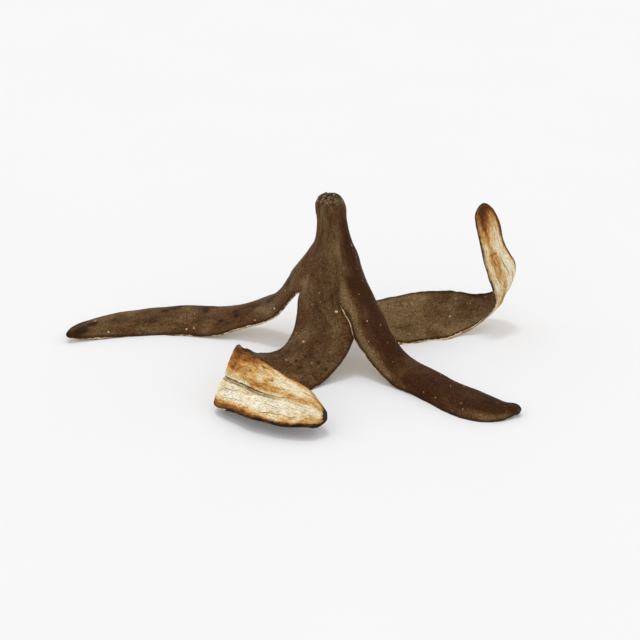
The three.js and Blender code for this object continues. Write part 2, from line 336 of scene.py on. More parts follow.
def slit_beside(index, across):
    """Where the slit beside a strip opens: the one before it, or the one after it."""
    return np.where(across < 0, SLIT_STARTS[index], SLIT_STARTS[(index + 1) % 4])


def angle_of(index, across):
    """Angle round the stem, running evenly between the strip's two slits."""
    course = COURSES[index]
    return (course["start"] + course["end"]) / 2 + across * (course["end"] - course["start"]) / 2


def width_at(index, length):
    """Distance between a strip's borders, shrinking as a quarter circle at its tip."""
    course = COURSES[index]
    place = np.interp(length, course["lengths"], course["places"])
    chord = centripetal(course["second"], place) - centripetal(course["first"], place)
    left = np.clip(to_tip(index, length) / course["rounding"], 0, 1)
    rounding = np.sqrt(np.maximum(1 - (1 - left) ** 2, 0))
    return np.maximum(np.linalg.norm(chord, axis=-1) * rounding, TIP_WIDTH)


def course_point(index, length, across, depth):
    """Strip on its own course: a circular arc from border to border, drawn inward by the depth.

    The arc's plane holds the line between the borders and the outward direction,
    which is square to that line and to the strip's heading.
    """
    course = COURSES[index]
    place = np.interp(length, course["lengths"], course["places"])

    def middle(at):
        return (centripetal(course["first"], at) + centripetal(course["second"], at)) / 2

    along = unit(middle(place + 0.02) - middle(place - 0.02))
    side = unit(centripetal(course["second"], place) - centripetal(course["first"], place))
    outward = unit(np.cross(along, side))
    bend = centripetal(course["arch"], place)[:, 0]
    arch = np.where(np.abs(bend) < 0.05, 0.05, bend)
    radius = width_at(index, length) / 2 / np.sin(arch / 2)
    angle = across * arch / 2
    sideways = ((radius - depth) * np.sin(angle))[:, None]
    rise = ((radius - depth) * np.cos(angle) - radius * np.cos(arch / 2))[:, None]
    return middle(place) + side * sideways + outward * rise


def peel_point(index, length, across, depth):
    """Round crown at first, the strip's own course after its slit, eased between the two."""
    course = COURSES[index]
    reach = np.minimum(np.abs(across), 1) ** 2
    start = course["leaves"] + (slit_beside(index, across) - course["leaves"]) * reach
    leaving = rise(length, start, LEAVING_LENGTH)[:, None]
    crown = crown_point(length, angle_of(index, across), depth)
    return crown * (1 - leaving) + course_point(index, length, across, depth) * leaving


def grain_at(index, length, across):
    """The skin as it grew: round the fruit at one radius, and along its length."""
    angle = angle_of(index, across)
    return np.stack([GRAIN_RADIUS * np.cos(angle), GRAIN_RADIUS * np.sin(angle), length], -1)


# Layers of lumps: height, size round the fruit, size along it, and seed.
SKIN_WAVES = ((1.9, 9.5, 17, 11), (1.0, 3.4, 15, 12), (0.5, 1.7, 6.5, 13), (0.35, 1.1, 1.6, 14))
PITH_WAVES = ((1.0, 1.5, 22, 41), (0.55, 0.9, 9, 42), (1.1, 6, 9, 43), (0.3, 1.2, 1.7, 44))
# Each layer is read from its own part of the noise, its seed times this away.
SEED_SHIFT = 7.3


def waves(grain, layers):
    """Sum of layers of noise, each stretched to its size round the fruit and along it."""
    total = np.zeros(grain.shape[:-1])
    for height, around, along, seed in layers:
        total += height * noise(grain / np.array([around, around, along]) + seed * SEED_SHIFT, seed)
    return total


def opened(index, length, across):
    """0 where the slit beside is still closed, easing to 1 beyond it."""
    return rise(length, slit_beside(index, across), SLIT_OPENING)


def ragged_across(index, length, across, share, raggedness):
    """Torn border: the outer part of the strip is stretched or shrunk by noise along its length.

    The skin or the pith also draws back from the border, whichever one the bevel leaves short.
    """
    side = np.sign(across)
    along = np.stack([length, side * 5 + index * 11, np.zeros_like(length)], -1)
    slow = noise(along / np.array([9.0, 1, 1]) + 3.1, 5)
    fast = noise(along / np.array([2.3, 1, 1]) + 9.7, 6)
    change = raggedness * (slow + 0.45 * fast) * opened(index, length, across)
    change *= rise(to_tip(index, length), 0, 6)
    bevel = bevel_at(index, length, across)
    change -= np.maximum(bevel, 0) * (1 - share) + np.maximum(-bevel, 0) * share
    half = width_at(index, length) / 2
    return across * (1 + change / half * np.abs(across) ** 5)


def crack_place(index, length, across):
    """The flap's crack: millimetres past its line toward the lower border, and its strength.

    The line runs down the middle of the flap, wanders by noise, and fades along the flap.
    """
    if index != FOLDED:
        return np.full_like(length, -FAR), np.zeros_like(length)
    past = past_crease(length)
    wander = 0.7 * noise(np.stack([past / 7, 0 * past, 0 * past], -1) + 0.5, 31)
    wander += 0.3 * noise(np.stack([past / 2.1, 0 * past, 0 * past], -1) + 4.5, 32)
    beside = (across - 0.06) * width_at(index, length) / 2 - wander
    strength = rise(past, -13, 15) * fall(past, 46, 36)
    return np.clip(beside, -FAR, FAR), strength


def crack_profile(beside, strength):
    """Cross-section of the crack: a steep side, then a torn slope 2.4 mm wide."""
    slope = np.where(beside < 0, 1 - smooth(-beside / 0.5), 1 - rise(beside, 0, 2.4))
    return slope * strength


def fold_line(index, length, across):
    """Second crease in the flap: a ridge running toward its tip, above the crack."""
    if index != FOLDED:
        return np.zeros_like(length)
    past = past_crease(length)
    beside = (across + 0.26 - 0.008 * (past - 28)) * width_at(index, length) / 2
    running = rise(past, 20, 6) * fall(past, 56, 8)
    return bell(beside, 0, 0.9) * running


def skin_relief(grain, index, length, across, height):
    """Outer wrinkles in millimetres: long shallow lumps with finer ones on them."""
    relief = waves(grain, SKIN_WAVES)
    stem_ribs = np.cos(4 * np.arctan2(grain[..., 1], grain[..., 0]) + 0.7)
    relief += 0.6 * stem_ribs * fall(length, 46, 30) * rise(length, 6, 5)
    relief *= height
    if index == ARCHED:
        running = rise(length, 46, 12) * fall(length, 165, 60)
        relief += 0.9 * running * bell(across, -0.6, 0.2)
        relief -= 0.8 * running * bell(across, -0.12, 0.3)
    if index == FOLDED:
        running = rise(length, 56, 16) * fall(past_crease(length), -12, 30)
        relief += 0.7 * running * bell(across, 0.55, 0.25)
        relief -= 0.6 * running * bell(across, 0.1, 0.3)
    return relief


def cut_end_relief(grain, length):
    """Rough cut end of the stem: lumps and pits that fade out down the stem's side."""
    turned = grain.copy()
    radius = np.minimum(length, 9)[..., None] / GRAIN_RADIUS
    turned[..., :2] *= radius
    turned[..., 2] = 0
    rough = 1.0 * noise(turned / 2.6 + 3.3, 21) + 0.7 * noise(turned / 1.25 + 8.1, 22)
    collar = 0.5 * noise(grain / np.array([5.0, 5.0, 3.0]) + 1.7, 23)
    return rough * fall(length, 8.5, 4) + collar * fall(length, 13, 6)


def pith_relief(grain, height):
    """Inner fibres in millimetres: narrow ridges along the strip over soft lumps."""
    return height * waves(grain, PITH_WAVES)


def lip(index, length, across, curl):
    """Dried borders curl toward the pith, by an amount that wanders along the border.

    The folded flap is cupped: its tip and lower border curl further.
    """
    side = np.sign(across)
    along = np.stack([length / 13, side * 3 + index * 7, 0 * length], -1)
    left = to_tip(index, length)
    amount = curl * (0.45 + noise(along + 0.4, 51)) * opened(index, length, across)
    if index == FOLDED:
        past = past_crease(length)
        amount = amount + 1.4 * curl * rise(past, 0, 12) * (side > 0)
    bent = amount * rise(np.abs(across), 0.6, 0.4) * rise(left, 0, 9)
    if index == FOLDED:
        bent = bent + 2.6 * curl * np.clip((7 - left) / 7, 0, 1) ** 2
    return bent


def tone_at(index, length, across):
    """Tone of the skin, from -1 (dark and red) through 0 to 1 (light and olive): the skin's own mottling,
    with painted shade on the stem's right side and along the folded strip's borders, and a painted
    highlight on the arched strip's ridge.
    """
    left = to_tip(index, length)
    below = rise(length, 50, 10)
    around = angle_of(index, across)
    # Painted shade darkens the stem's right side, away from the light.
    stem_painted_shade = -0.7 * rise(np.cos(around), 0.3, 0.4) * rise(length, 4, 6)
    tone = stem_painted_shade * (1 - below)
    if index == LEFT:
        # Brown near the crown, olive further out, nearly black at the tip.
        tone += below * (-0.2 + 0.35 * rise(length, 125, 30) - 0.8 * fall(left, 20, 14))
    if index == FOLDED:
        past = past_crease(length)
        # Painted shade along both borders, where the strip turns away from the light and meets its
        # neighbours, and darker from shortly before the crease on.
        tone += below * (0.1 - 0.3 * rise(across, 0.5, 0.4) * fall(past, -18, 20))
        tone -= 0.4 * rise(past, -26, 14)
        tone -= 0.35 * fall(across, -0.45, 0.4) * below
    if index == ARCHED:
        # A painted highlight along the ridge by the near border, red brown over the rest, light again at
        # the toe.
        ridge = bell(across, -0.8, 0.12) * fall(length, 122, 36)
        tone += 1.2 * ridge * rise(length, 42, 10)
        dark_from = -0.78 - 0.5 * rise(length, 96, 30)
        tone -= 0.85 * rise(length, 40, 16) * rise(across, dark_from, 0.3)
        tone -= 0.35 * rise(length, 104, 20) * rise(across, -0.75, 0.2)
        tone += 0.9 * fall(across, -0.35, 0.3) * fall(left, 30, 12)
        tone -= 0.4 * fall(left, 7, 5)
    if index == CURLED:
        # Olive, lightest along its lower border and in one oval patch, dark before the curl.
        shown = rise(length, 62, 12)
        tone += shown * (0.55 + 0.3 * fall(across, -0.3, 0.5))
        tone += 0.7 * bell(length, 98, 4) * bell(across, 0.34, 0.2)
        tone -= 0.65 * rise(length, 118, 34) * rise(across, -0.9, 0.7)
    return np.clip(tone, -1, 1)


def spotted_at(index, length, across):
    """Share of the small dark spots that show, from 0 to 1."""
    spotted = np.full_like(length, 0.12)
    if index == LEFT:
        spotted += 0.4 * fall(across, 0.1, 0.5) * rise(length, 80, 15)
    if index == FOLDED:
        past = past_crease(length)
        spotted += 0.75 * rise(past, -46, 14) * fall(across, 0.75, 0.4)
    return spotted


# Single dark marks on the skin: strip, length, place across, half length and half width.
DARK_MARKS = (
    (LEFT, 121.2, -0.32, 1.9, 2.6), (LEFT, 143.8, -0.2, 2.2, 1.3), (LEFT, 103.9, -0.06, 1.8, 1.3),
    (LEFT, 103.2, 0.22, 1.7, 1.1), (LEFT, 112.3, 0.37, 1.6, 0.9), (LEFT, 190, 0.3, 4.0, 2.2),
    (LEFT, 184, -0.1, 3.0, 1.6), (FOLDED, 97.5, -0.55, 0.9, 0.8), (FOLDED, 96.4, -0.12, 1.1, 0.9),
    (FOLDED, 91.5, 0.02, 0.7, 0.8), (FOLDED, 92.2, 0.48, 1.2, 1.0), (FOLDED, 93, 0.79, 0.8, 0.9),
    (FOLDED, 99.5, 0.15, 0.8, 1.1),
)


def marks_at(index, length, across):
    """Dark oval marks: 1 at each mark's middle, fading out by a bell curve."""
    shade = np.zeros_like(length)
    for strip, place, aside, half_length, half_width in DARK_MARKS:
        if strip == index:
            along = (length - place) / half_length
            beside = (across - aside) * width_at(index, length) / 2 / half_width
            shade = np.maximum(shade, 0.8 * np.exp(-(along**2) - beside**2))
    return shade


# How far the bevel of a torn border wanders either way, in millimetres.
BEVEL_WANDER = 0.35


def bevel_at(index, length, across):
    """How far the pith stands out past the skin at a torn border, in millimetres.

    It is negative where the skin stands out past the pith.
    """
    side = np.sign(across)
    along = np.stack([length / 6, side * 4 + index * 9, 0 * length], -1)
    bevel = 0.15 + BEVEL_WANDER * noise(along + 2.2, 61)
    if index == CURLED:
        shown = rise(length, 84, 10) * rise(to_tip(index, length), 28, 14)
        bevel = bevel + 1.5 * shown * (side < 0)
        bevel = bevel + 0.5 * rise(length, 134, 8) * (side < 0)
    if index == ARCHED:
        shown = rise(length, 56, 5) * fall(length, 118, 20)
        bevel = bevel + (0.2 + 0.35 * shown) * (side < 0)
    if index == LEFT:
        bevel = bevel + (0.35 + 0.5 * noise(along * 0.6 + 6.1, 62)) * (side > 0)
        bevel = bevel + 0.4 * clean_border_at(index, length, across)
    if index == FOLDED:
        past = past_crease(length)
        bevel = bevel - 0.7 * rise(past, 2, 6) * (side > 0)
        bevel = bevel - 0.5 * rise(past, 30, 12)
    left = to_tip(index, length)
    return bevel * opened(index, length, across) * rise(left, 0, 5)


def clean_border_at(index, length, across):
    """Where a torn border has stayed pale and free of dirt, from 0 to 1."""
    left = to_tip(index, length)
    if index == CURLED:
        return rise(length, 96, 24) * rise(left, 26, 10) * (across < 0)
    if index == LEFT:
        near_tip = fall(left, 44, 10) * rise(left, 6, 6)
        near_crown = rise(length, 92, 4) * fall(length, 112, 4)
        return 0.85 * np.maximum(near_tip, 0.8 * near_crown) * (across > 0)
    return np.zeros_like(length)


# Widths of the bare rim of each strip: along both borders, and at its tip.
BARE_WIDTHS = ((0.4, 0.45, 1.0), (0.5, 0.5, 2.5), (0.4, 0.4, 1.0), (0.6, 0.55, 0.8))
# The flap's lower border is bare this far instead.
BARE_FLAP_BORDER = 0.75


def bare_rim(index, length, across):
    """Rim where the pith has come off the skin: millimetres inside it, below 0 outside it."""
    before, after, at_tip = BARE_WIDTHS[index]
    if index == FOLDED:
        after = after + (BARE_FLAP_BORDER - after) * rise(past_crease(length), 4, 6)
    half = width_at(index, length) / 2
    inside = np.clip(across, -1, 1)
    near_before = before - (1 + inside) * half
    near_after = after - (1 - inside) * half
    beside = np.maximum(near_before, near_after)
    beside = beside * opened(index, length, across) - FAR * (1 - opened(index, length, across))
    ahead = at_tip - to_tip(index, length)
    return np.clip(np.maximum(beside, ahead), -FAR, FAR)


def wall_thickness(index, length, across, full):
    """Wall of the peel: full in the middle, thinner at the borders and the tip."""
    border = BORDER_SHARE + (1 - BORDER_SHARE) * fall(np.abs(across), 1, BORDER_THINNING_WIDTH)
    tip = TIP_SHARE + (1 - TIP_SHARE) * rise(to_tip(index, length), 0, TIP_THINNING_LENGTH)
    return full * border * tip


def stain_at(index, length, across):
    """Brown stain on the pith, from 0 to 1.4: strong near borders, tips and the crease."""
    left = to_tip(index, length)
    border = (1 - np.abs(across)) * width_at(index, length) / 2
    pale = 0.6 if index == CURLED else 0.0
    value = 0.7 * (1 - pale * (across < 0)) * np.exp(-border / 2.4)
    value += (0.65 if index == CURLED else 0.4) * np.exp(-left / 6)
    if index == FOLDED:
        past = past_crease(length)
        upper = fall(across, 0.1, 0.5)
        # Ochre above the crack, browner by the crease, along the lower border and the ridge.
        value += 0.2 * fall(across, 0.04, 0.1) * fall(past, 40, 24)
        value += 0.5 * upper * np.exp(-np.abs(past - 4) / 16)
        value += 0.7 * rise(across, 0.6, 0.3) * fall(past, 32, 12)
        value += 0.28 * bell(across, -0.12, 0.16) * rise(past, 12, 12)
    if index == CURLED:
        # A brown band along the curl, a darker far border and a brown tip.
        value += 0.5 * bell(across, -0.35, 0.3) * rise(length, 120, 20)
        value += 0.75 * rise(across, 0.6, 0.3) * rise(length, 110, 20)
        value += 0.4 * fall(left, 26, 20)
    return np.clip(value, 0, 1.4)


# The wall thins by this share at a bare rim, and nowhere below the least wall.
RIM_THINNING = 0.4
LEAST_WALL = 0.4
# Height of the flap's second crease, and the share of the skin's wrinkles on the pith.
RIDGE_HEIGHT = 0.5
PITH_FOLLOWS = 0.3


def peel_fields(index, length, across, share, sizes):
    """Places and attributes of points of the peel, at a share of the wall from skin to pith.

    The skin is the peel's surface raised by its relief, the pith is the same surface
    sunk by the wall's thickness less its own relief, and the share mixes the depths.
    """
    length, across, share = np.broadcast_arrays(length, across, share)
    shape = length.shape
    length, across, share = (np.array(a, float).ravel() for a in (length, across, share))
    grain = grain_at(index, length, across)
    torn = ragged_across(index, length, across, share, sizes.raggedness / MM)
    relief = skin_relief(grain, index, length, across, sizes.wrinkle_height / MM)
    relief += cut_end_relief(grain, length) * sizes.cut_roughness / MM
    curl = lip(index, length, across, sizes.border_curl / MM)
    wall = wall_thickness(index, length, across, sizes.skin_thickness / MM)
    crack_beside, crack_strength = crack_place(index, length, across)
    crack = crack_profile(crack_beside, crack_strength)
    ridge = fold_line(index, length, across)
    bare = bare_rim(index, length, across)
    pith = pith_relief(grain, sizes.fibre_height / MM)
    inner = wall * (1 - RIM_THINNING * smooth(bare + 0.3)) - pith
    inner = inner + RIDGE_HEIGHT * ridge - crack * sizes.crack_depth / MM
    inner = np.maximum(inner, LEAST_WALL)
    depth = (1 - share) * -relief + share * (inner - PITH_FOLLOWS * relief) + curl
    point = peel_point(index, length, torn, depth)
    run = np.clip((length - HOLLOW_START) / HOLLOW_RUN, 0, 1)
    axis = np.stack([0 * length, 0 * length, crown_height(length)], -1)
    closing = np.where(share > 0, np.sin(run * np.pi / 2), 1)[:, None]
    point = axis * (1 - closing) + point * closing
    point[:, 2] = np.maximum(point[:, 2] - SETTLE, 0)
    return {
        "shape": shape,
        "place": point,
        "grain": grain,
        "depth": share,
        "stain": stain_at(index, length, across),
        "crack_beside": crack_beside,
        "crack_strength": crack_strength,
        "bare": bare,
        "tone": tone_at(index, length, across),
        "spotted": spotted_at(index, length, across),
        "mark": marks_at(index, length, across),
        "clean_border": clean_border_at(index, length, across),
    }


# ------------------------------------------------------------------- mesh ---

# Materials of the peel, in the order of its slots.
SKIN, PITH, BORDER, CUT_END = range(4)
# The cut end's material reaches this far down the stem's side.
CUT_END_LENGTH = 8.0
# Torn faces bulge by a share of the half width, and at a tip by millimetres.
BORDER_BULGE = 0.012
TIP_BULGE = 0.12
# Edges that turn by more degrees than this are shaded sharp.
SHARP_ANGLE = 52

# Rows and columns of the mesh: how far columns crowd, where the first row and the stem's
# side start, the rows through the slits' starts, and the rows added at tips and in bends.
COLUMN_CROWDING = 0.07
FIRST_ROW = 0.4
STEM_SIDE = 10
SLIT_ROWS = (52.5, 53, 53.75, 54.5)
ROW_TABLE_STEPS = 2400
TIP_ROWS = 5
ROWS_PER_TURN = 4.5

FIELD_NAMES = (
    "depth", "stain", "crack_beside", "crack_strength", "bare", "tone", "spotted", "mark",
    "clean_border",
)


class Store:
    """Collects vertices with their attributes, and faces with their materials."""

    def __init__(self):
        self.parts = []
        self.count = 0
        self.faces = []
        self.slots = []

    def add(self, fields):
        """Adds points and returns their numbers in the same arrangement."""
        first = self.count
        self.parts.append(fields)
        self.count += len(fields["place"])
        return np.arange(first, self.count).reshape(fields["shape"])

    def quads(self, grid, slot, turned=False):
        """Faces of a grid of vertex numbers, seen from outside."""
        a, b, c, d = grid[:-1, :-1], grid[1:, :-1], grid[1:, 1:], grid[:-1, 1:]
        corners = (d, c, b, a) if turned else (a, b, c, d)
        faces = np.stack(corners, -1).reshape(-1, 4)
        self.faces.append(faces)
        self.slots.append(np.full(len(faces), slot))

    def fan(self, pole, ring, slot, turned=False):
        """Triangles from one point to a row, kept as quads with a doubled corner."""
        one, other = (ring[1:], ring[:-1]) if turned else (ring[:-1], ring[1:])
        faces = np.stack([np.full(len(one), pole), one, other, other], -1)
        self.faces.append(faces)
        self.slots.append(np.full(len(faces), slot))

    def field(self, name):
        """One attribute of all the points, in the order of their numbers."""
        return np.concatenate([part[name] for part in self.parts])


def write_mesh(name, places, faces, slots, materials, sharp_angle=None):
    """Puts arrays into a new mesh object at the origin. A doubled corner makes a triangle."""
    three = faces[:, 2] == faces[:, 3]
    sizes = np.where(three, 3, 4)
    keep = np.ones(faces.shape, bool)
    keep[three, 3] = False
    loops = faces[keep]
    starts = np.concatenate([[0], np.cumsum(sizes)[:-1]])
    mesh = bpy.data.meshes.new(name)
    mesh.vertices.add(len(places))
    mesh.vertices.foreach_set("co", np.asarray(places, np.float32).ravel())
    mesh.loops.add(len(loops))
    mesh.loops.foreach_set("vertex_index", loops.astype(np.int32))
    mesh.polygons.add(len(faces))
    mesh.polygons.foreach_set("loop_start", starts.astype(np.int32))
    for material in materials:
        mesh.materials.append(material)
    mesh.polygons.foreach_set("material_index", np.asarray(slots, np.int32))
    mesh.polygons.foreach_set("use_smooth", np.ones(len(faces), bool))
    mesh.update(calc_edges=True)
    if mesh.validate():
        raise RuntimeError(f"{name} has faces that Blender can't keep")
    if sharp_angle is not None:
        mesh.set_sharp_from_angle(angle=sharp_angle)
    piece = bpy.data.objects.new(name, mesh)
    bpy.context.scene.collection.objects.link(piece)
    return piece


def write_plain(name, places, faces, materials):
    """A mesh of one material, from places in millimetres about the stem's axis."""
    return write_mesh(name, to_frame(places), faces, np.zeros(len(faces), int), materials)


def write_field(piece, name, kind, values):
    """Stores one value per vertex as an attribute of the mesh."""
    attribute = piece.data.attributes.new(name, kind, "POINT")
    key = "vector" if kind == "FLOAT_VECTOR" else "value"
    attribute.data.foreach_set(key, np.asarray(values, np.float32).ravel())


def stem_place():
    """Where the stem's axis stands in the frame, found from the CAD solid's highest point."""
    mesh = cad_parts["peel"].data
    places = np.zeros(len(mesh.vertices) * 3, np.float32)
    mesh.vertices.foreach_get("co", places)
    places = places.reshape(-1, 3)
    top = places[places[:, 2].argmax()]
    return np.array([top[0] - LEAN_BY * MM, top[1], 0.0])


def to_frame(places):
    """Millimetres about the stem's axis, turned into the frame's metres."""
    return places * MM + stem_place()


def column_places(columns):
    """Places across a strip from -1 to 1, closer together in the middle and at the borders."""
    even = np.linspace(-1, 1, columns + 1)
    across = even - COLUMN_CROWDING * np.sin(2 * np.pi * even)
    across[0], across[-1] = -1, 1
    return across


def crown_rows(spacing):
    """Rows that all strips share, down to where the last slit opens."""
    face = np.linspace(FIRST_ROW, STEM_SIDE, round((STEM_SIDE - FIRST_ROW) / (spacing * 0.6)) + 1)
    side = np.linspace(STEM_SIDE, SLIT_STARTS[0], round((SLIT_STARTS[0] - STEM_SIDE) / spacing) + 1)
    return np.concatenate([face[:-1], side, SLIT_ROWS])


def strip_rows(index, spacing):
    """A strip's own rows: evenly spaced along its length, with more where it turns sharply."""
    course = COURSES[index]
    lengths = np.linspace(SLIT_STARTS[2], course["tip"], ROW_TABLE_STEPS)
    turning = np.interp(lengths, course["lengths"], course["turning"])
    near_tip = TIP_ROWS * fall(to_tip(index, lengths), 5, 5)
    measure = lengths / spacing + ROWS_PER_TURN * turning + near_tip
    count = round(measure[-1] - measure[0])
    rows = np.interp(np.linspace(measure[0], measure[-1], count + 1), measure, lengths)
    return rows[1:]


def add_strip(store, index, length, across, shares, hollow, sizes):
    """Adds one strip's points: its skin, its pith, and a wall below the slit at each border."""
    skin = store.add(peel_fields(index, length[:, None], across, 0.0, sizes))
    pith = store.add(peel_fields(index, length[hollow:, None], across, 1.0, sizes))
    bulge = 1 + BORDER_BULGE * np.sin(np.pi * shares)
    walls = []
    for side in (-1, 1):
        first = int(np.searchsorted(length, slit_beside(index, side) - 1e-6))
        fields = peel_fields(index, length[first:, None], side * bulge, shares, sizes)
        walls.append((first, store.add(fields)))
    return skin, pith, walls


def tip_cap(store, index, length, across, shares, ends, sizes):
    """Rows between the skin and the pith over a strip's tip, bulging as half a sine."""
    rows = []
    for step, share in enumerate(shares):
        beyond = np.full(len(across) - 2, length[-1] + TIP_BULGE * np.sin(np.pi * share))
        numbers = store.add(peel_fields(index, beyond, across[1:-1], share, sizes))
        rows.append(np.concatenate([[ends[0][step]], numbers, [ends[1][step]]]))
    return rows


def build_peel(sizes, materials):
    """The whole peel as one closed shell.

    Each strip is two grids of length by place across, one for the skin and one for
    the pith. Columns meet on the crown, and below each slit a wall closes the border.
    """
    store = Store()
    spacing = sizes.row_spacing / MM
    across = column_places(sizes.columns)
    shared = crown_rows(spacing)
    rows = [np.concatenate([shared, strip_rows(index, spacing)]) for index in ALL_STRIPS]
    hollow = int(np.searchsorted(shared, HOLLOW_START + 0.3))
    shares = np.linspace(0, 1, sizes.wall_rows + 2)[1:-1]
    poles = []
    for length, share in ((0.0, 0.0), (HOLLOW_START, 1.0)):
        fields = peel_fields(LEFT, np.array([length]), np.array([-1.0]), share, sizes)
        poles.append(int(store.add(fields)[0]))
    strips = [
        add_strip(store, index, rows[index], across, shares, hollow, sizes) for index in ALL_STRIPS
    ]
    for index in ALL_STRIPS:
        skin, pith, walls = strips[index]
        next_skin, next_pith, next_walls = strips[(index + 1) % len(STRIPS)]
        closed = int(np.searchsorted(rows[index], slit_beside(index, 1) + 1e-6))
        skin[:closed, -1] = next_skin[:closed, 0]
        pith[: closed - hollow, -1] = next_pith[: closed - hollow, 0]
        walls[1][1][0] = next_walls[0][1][0]
    for index, (skin, pith, walls) in enumerate(strips):
        end_row = int(np.searchsorted(rows[index], CUT_END_LENGTH))
        store.fan(poles[0], skin[0], CUT_END)
        store.quads(skin[: end_row + 1], CUT_END)
        store.quads(skin[end_row:], SKIN)
        store.fan(poles[1], pith[0], PITH, turned=True)
        store.quads(pith, PITH, turned=True)
        for (first, wall), column, turned in zip(walls, (0, -1), (True, False)):
            border = skin[first:, column, None]
            lining = pith[first - hollow :, column, None]
            store.quads(np.concatenate([border, wall, lining], 1), BORDER, turned=turned)
        ends = [wall[-1] for _, wall in walls]
        middle = tip_cap(store, index, rows[index], across, shares, ends, sizes)
        store.quads(np.vstack([skin[-1], *middle, pith[-1]]), BORDER)
    faces = np.concatenate(store.faces)
    used = np.unique(faces)
    number = np.full(store.count, -1)
    number[used] = np.arange(len(used))
    piece = write_mesh(
        "banana_peel", to_frame(store.field("place"))[used], number[faces],
        np.concatenate(store.slots), materials, np.radians(SHARP_ANGLE),
    )
    write_field(piece, "grain", "FLOAT_VECTOR", store.field("grain")[used] * MM)
    for name in FIELD_NAMES:
        write_field(piece, name, "FLOAT", store.field(name)[used])
    return piece


def tubes(paths, radii, sides):
    """Tapering tubes round many paths at once, each closed by a point at both ends.

    A ring of points is set square to the path at each step, at the step's radius.
    """
    count, steps = paths.shape[:2]
    heading = unit(np.gradient(paths, axis=1))
    helper = np.where(np.abs(heading[..., 2:]) > 0.9, [1.0, 0, 0], [0, 0, 1.0])
    side = unit(np.cross(heading, helper))
    up = np.cross(side, heading)
    angle = np.linspace(0, 2 * np.pi, sides, endpoint=False)
    ring = side[:, :, None] * np.cos(angle)[:, None] + up[:, :, None] * np.sin(angle)[:, None]
    body = paths[:, :, None] + ring * radii[..., None, None]
    ends = np.stack([paths[:, 0], paths[:, -1]], 1)
    places = np.concatenate([body.reshape(count, -1, 3), ends], 1)
    base = np.arange(steps * sides).reshape(steps, sides)
    wrapped = np.concatenate([base, base[:, :1]], 1)
    a, b, c, d = wrapped[:-1, :-1], wrapped[:-1, 1:], wrapped[1:, 1:], wrapped[1:, :-1]
    faces = [np.stack([a, b, c, d], -1).reshape(-1, 4)]
    first, last = steps * sides, steps * sides + 1
    start, end = wrapped[0], wrapped[-1]
    faces.append(np.stack([start[1:], start[:-1], np.full(sides, first), np.full(sides, first)], -1))
    faces.append(np.stack([end[:-1], end[1:], np.full(sides, last), np.full(sides, last)], -1))
    faces = np.concatenate(faces)
    shift = np.arange(count)[:, None, None] * places.shape[1]
    return places.reshape(-1, 3), (faces[None] + shift).reshape(-1, 4)


# Strings on the pith: strip, how many, and the lengths between which they lie.
STRING_GROUPS = (
    (FOLDED, 22, crease_length() + 1, COURSES[FOLDED]["tip"] - 5),
    (CURLED, 18, COURSES[CURLED]["tip"] - 78, COURSES[CURLED]["tip"] - 6),
    (FOLDED, 10, 60, crease_length() - 4),
    (LEFT, 12, 70, COURSES[LEFT]["tip"] - 10),
    (ARCHED, 12, 70, COURSES[ARCHED]["tip"] - 10),
)
# Rings along a string, points round it, its least and most radius, and its lowest height.
STRING_STEPS = 14
STRING_SIDES = 5
STRING_RADII = (0.08, 0.17)
STRING_FLOOR = 0.25


def build_pith_fibres(sizes, materials):
    """Loose strings on the pith: thin tubes on the inner side that lift off at their ends.

    A string's place drifts evenly across the strip and sways as a sine. Its lift is
    the fourth power of the distance from its middle.
    """
    draw = np.random.default_rng(71)
    t = np.linspace(0, 1, STRING_STEPS)
    taper = np.sin(np.pi * np.clip(t * 0.94 + 0.03, 0, 1)) ** 0.6
    paths, thickness = [], []
    for index, count, low, high in STRING_GROUPS:

        def each(least, most):
            return draw.uniform(least, most, count)[:, None]

        start = draw.uniform(low, high - 5, count)
        span = np.minimum(draw.uniform(3, 13, count), high - start)
        place = each(-0.93, 0.93)
        drift = each(-0.05, 0.05)
        length = start[:, None] + span[:, None] * t
        sway = 0.02 * np.sin(t * each(3, 9) + each(0, 6))
        across = np.clip(place + drift * t + sway, -0.97, 0.97)
        on_pith, above = (
            peel_fields(index, length, across, share, sizes)["place"].reshape(count, STRING_STEPS, 3)
            for share in (1.0, 1.25)
        )
        lift = each(0, 1) ** 3 * (2 * t - 1) ** 4 + 0.06
        paths.append(on_pith + unit(above - on_pith) * lift[..., None])
        thickness.append(each(*STRING_RADII) * taper)
    paths, thickness = np.concatenate(paths), np.concatenate(thickness)
    paths[..., 2] = np.maximum(paths[..., 2], STRING_FLOOR)
    places, faces = tubes(paths, thickness, STRING_SIDES)
    return write_plain("pith_fibres", places, faces, materials)


# Strands on the cut end: how many, rings along each, points round it, and how much of the
# crown's profile counts as the cut face.
STRAND_COUNT = 64
STRAND_STEPS = 8
STRAND_SIDES = 6
FACE_STEPS = 600


def build_stem_fibres(materials):
    """Broken strands on the stem's cut end: short thick tubes lying over its rough face.

    Each is a straight line seen from above, laid on the crown's profile and lifted a little.
    """
    draw = np.random.default_rng(72)
    t = np.linspace(0, 1, STRAND_STEPS)
    angle, reach, turn, size = (
        draw.uniform(low, high, STRAND_COUNT)[:, None]
        for low, high in ((0, 2 * np.pi), (0.6, 6.2), (-1, 1), (0.8, 2.6))
    )
    x, y = (
        reach * circle(angle) + size * (t - 0.5) * circle(angle + turn) for circle in (np.cos, np.sin)
    )
    face = PROFILE_CURVE[:FACE_STEPS]
    face = face[np.argsort(face[:, 0])]
    height = np.interp(np.hypot(x, y), face[:, 0], face[:, 1])
    lift = draw.uniform(-0.2, 0.2, STRAND_COUNT)[:, None]
    lift = lift + 0.15 * draw.random(STRAND_COUNT)[:, None] * t**2
    paths = np.stack([x + LEAN_BY, y, height + lift - SETTLE], -1)
    taper = (1 - 0.55 * t) * draw.uniform(0.22, 0.42, STRAND_COUNT)[:, None]
    places, faces = tubes(paths, taper, STRAND_SIDES)
    return write_plain("stem_end_fibres", places, faces, materials)


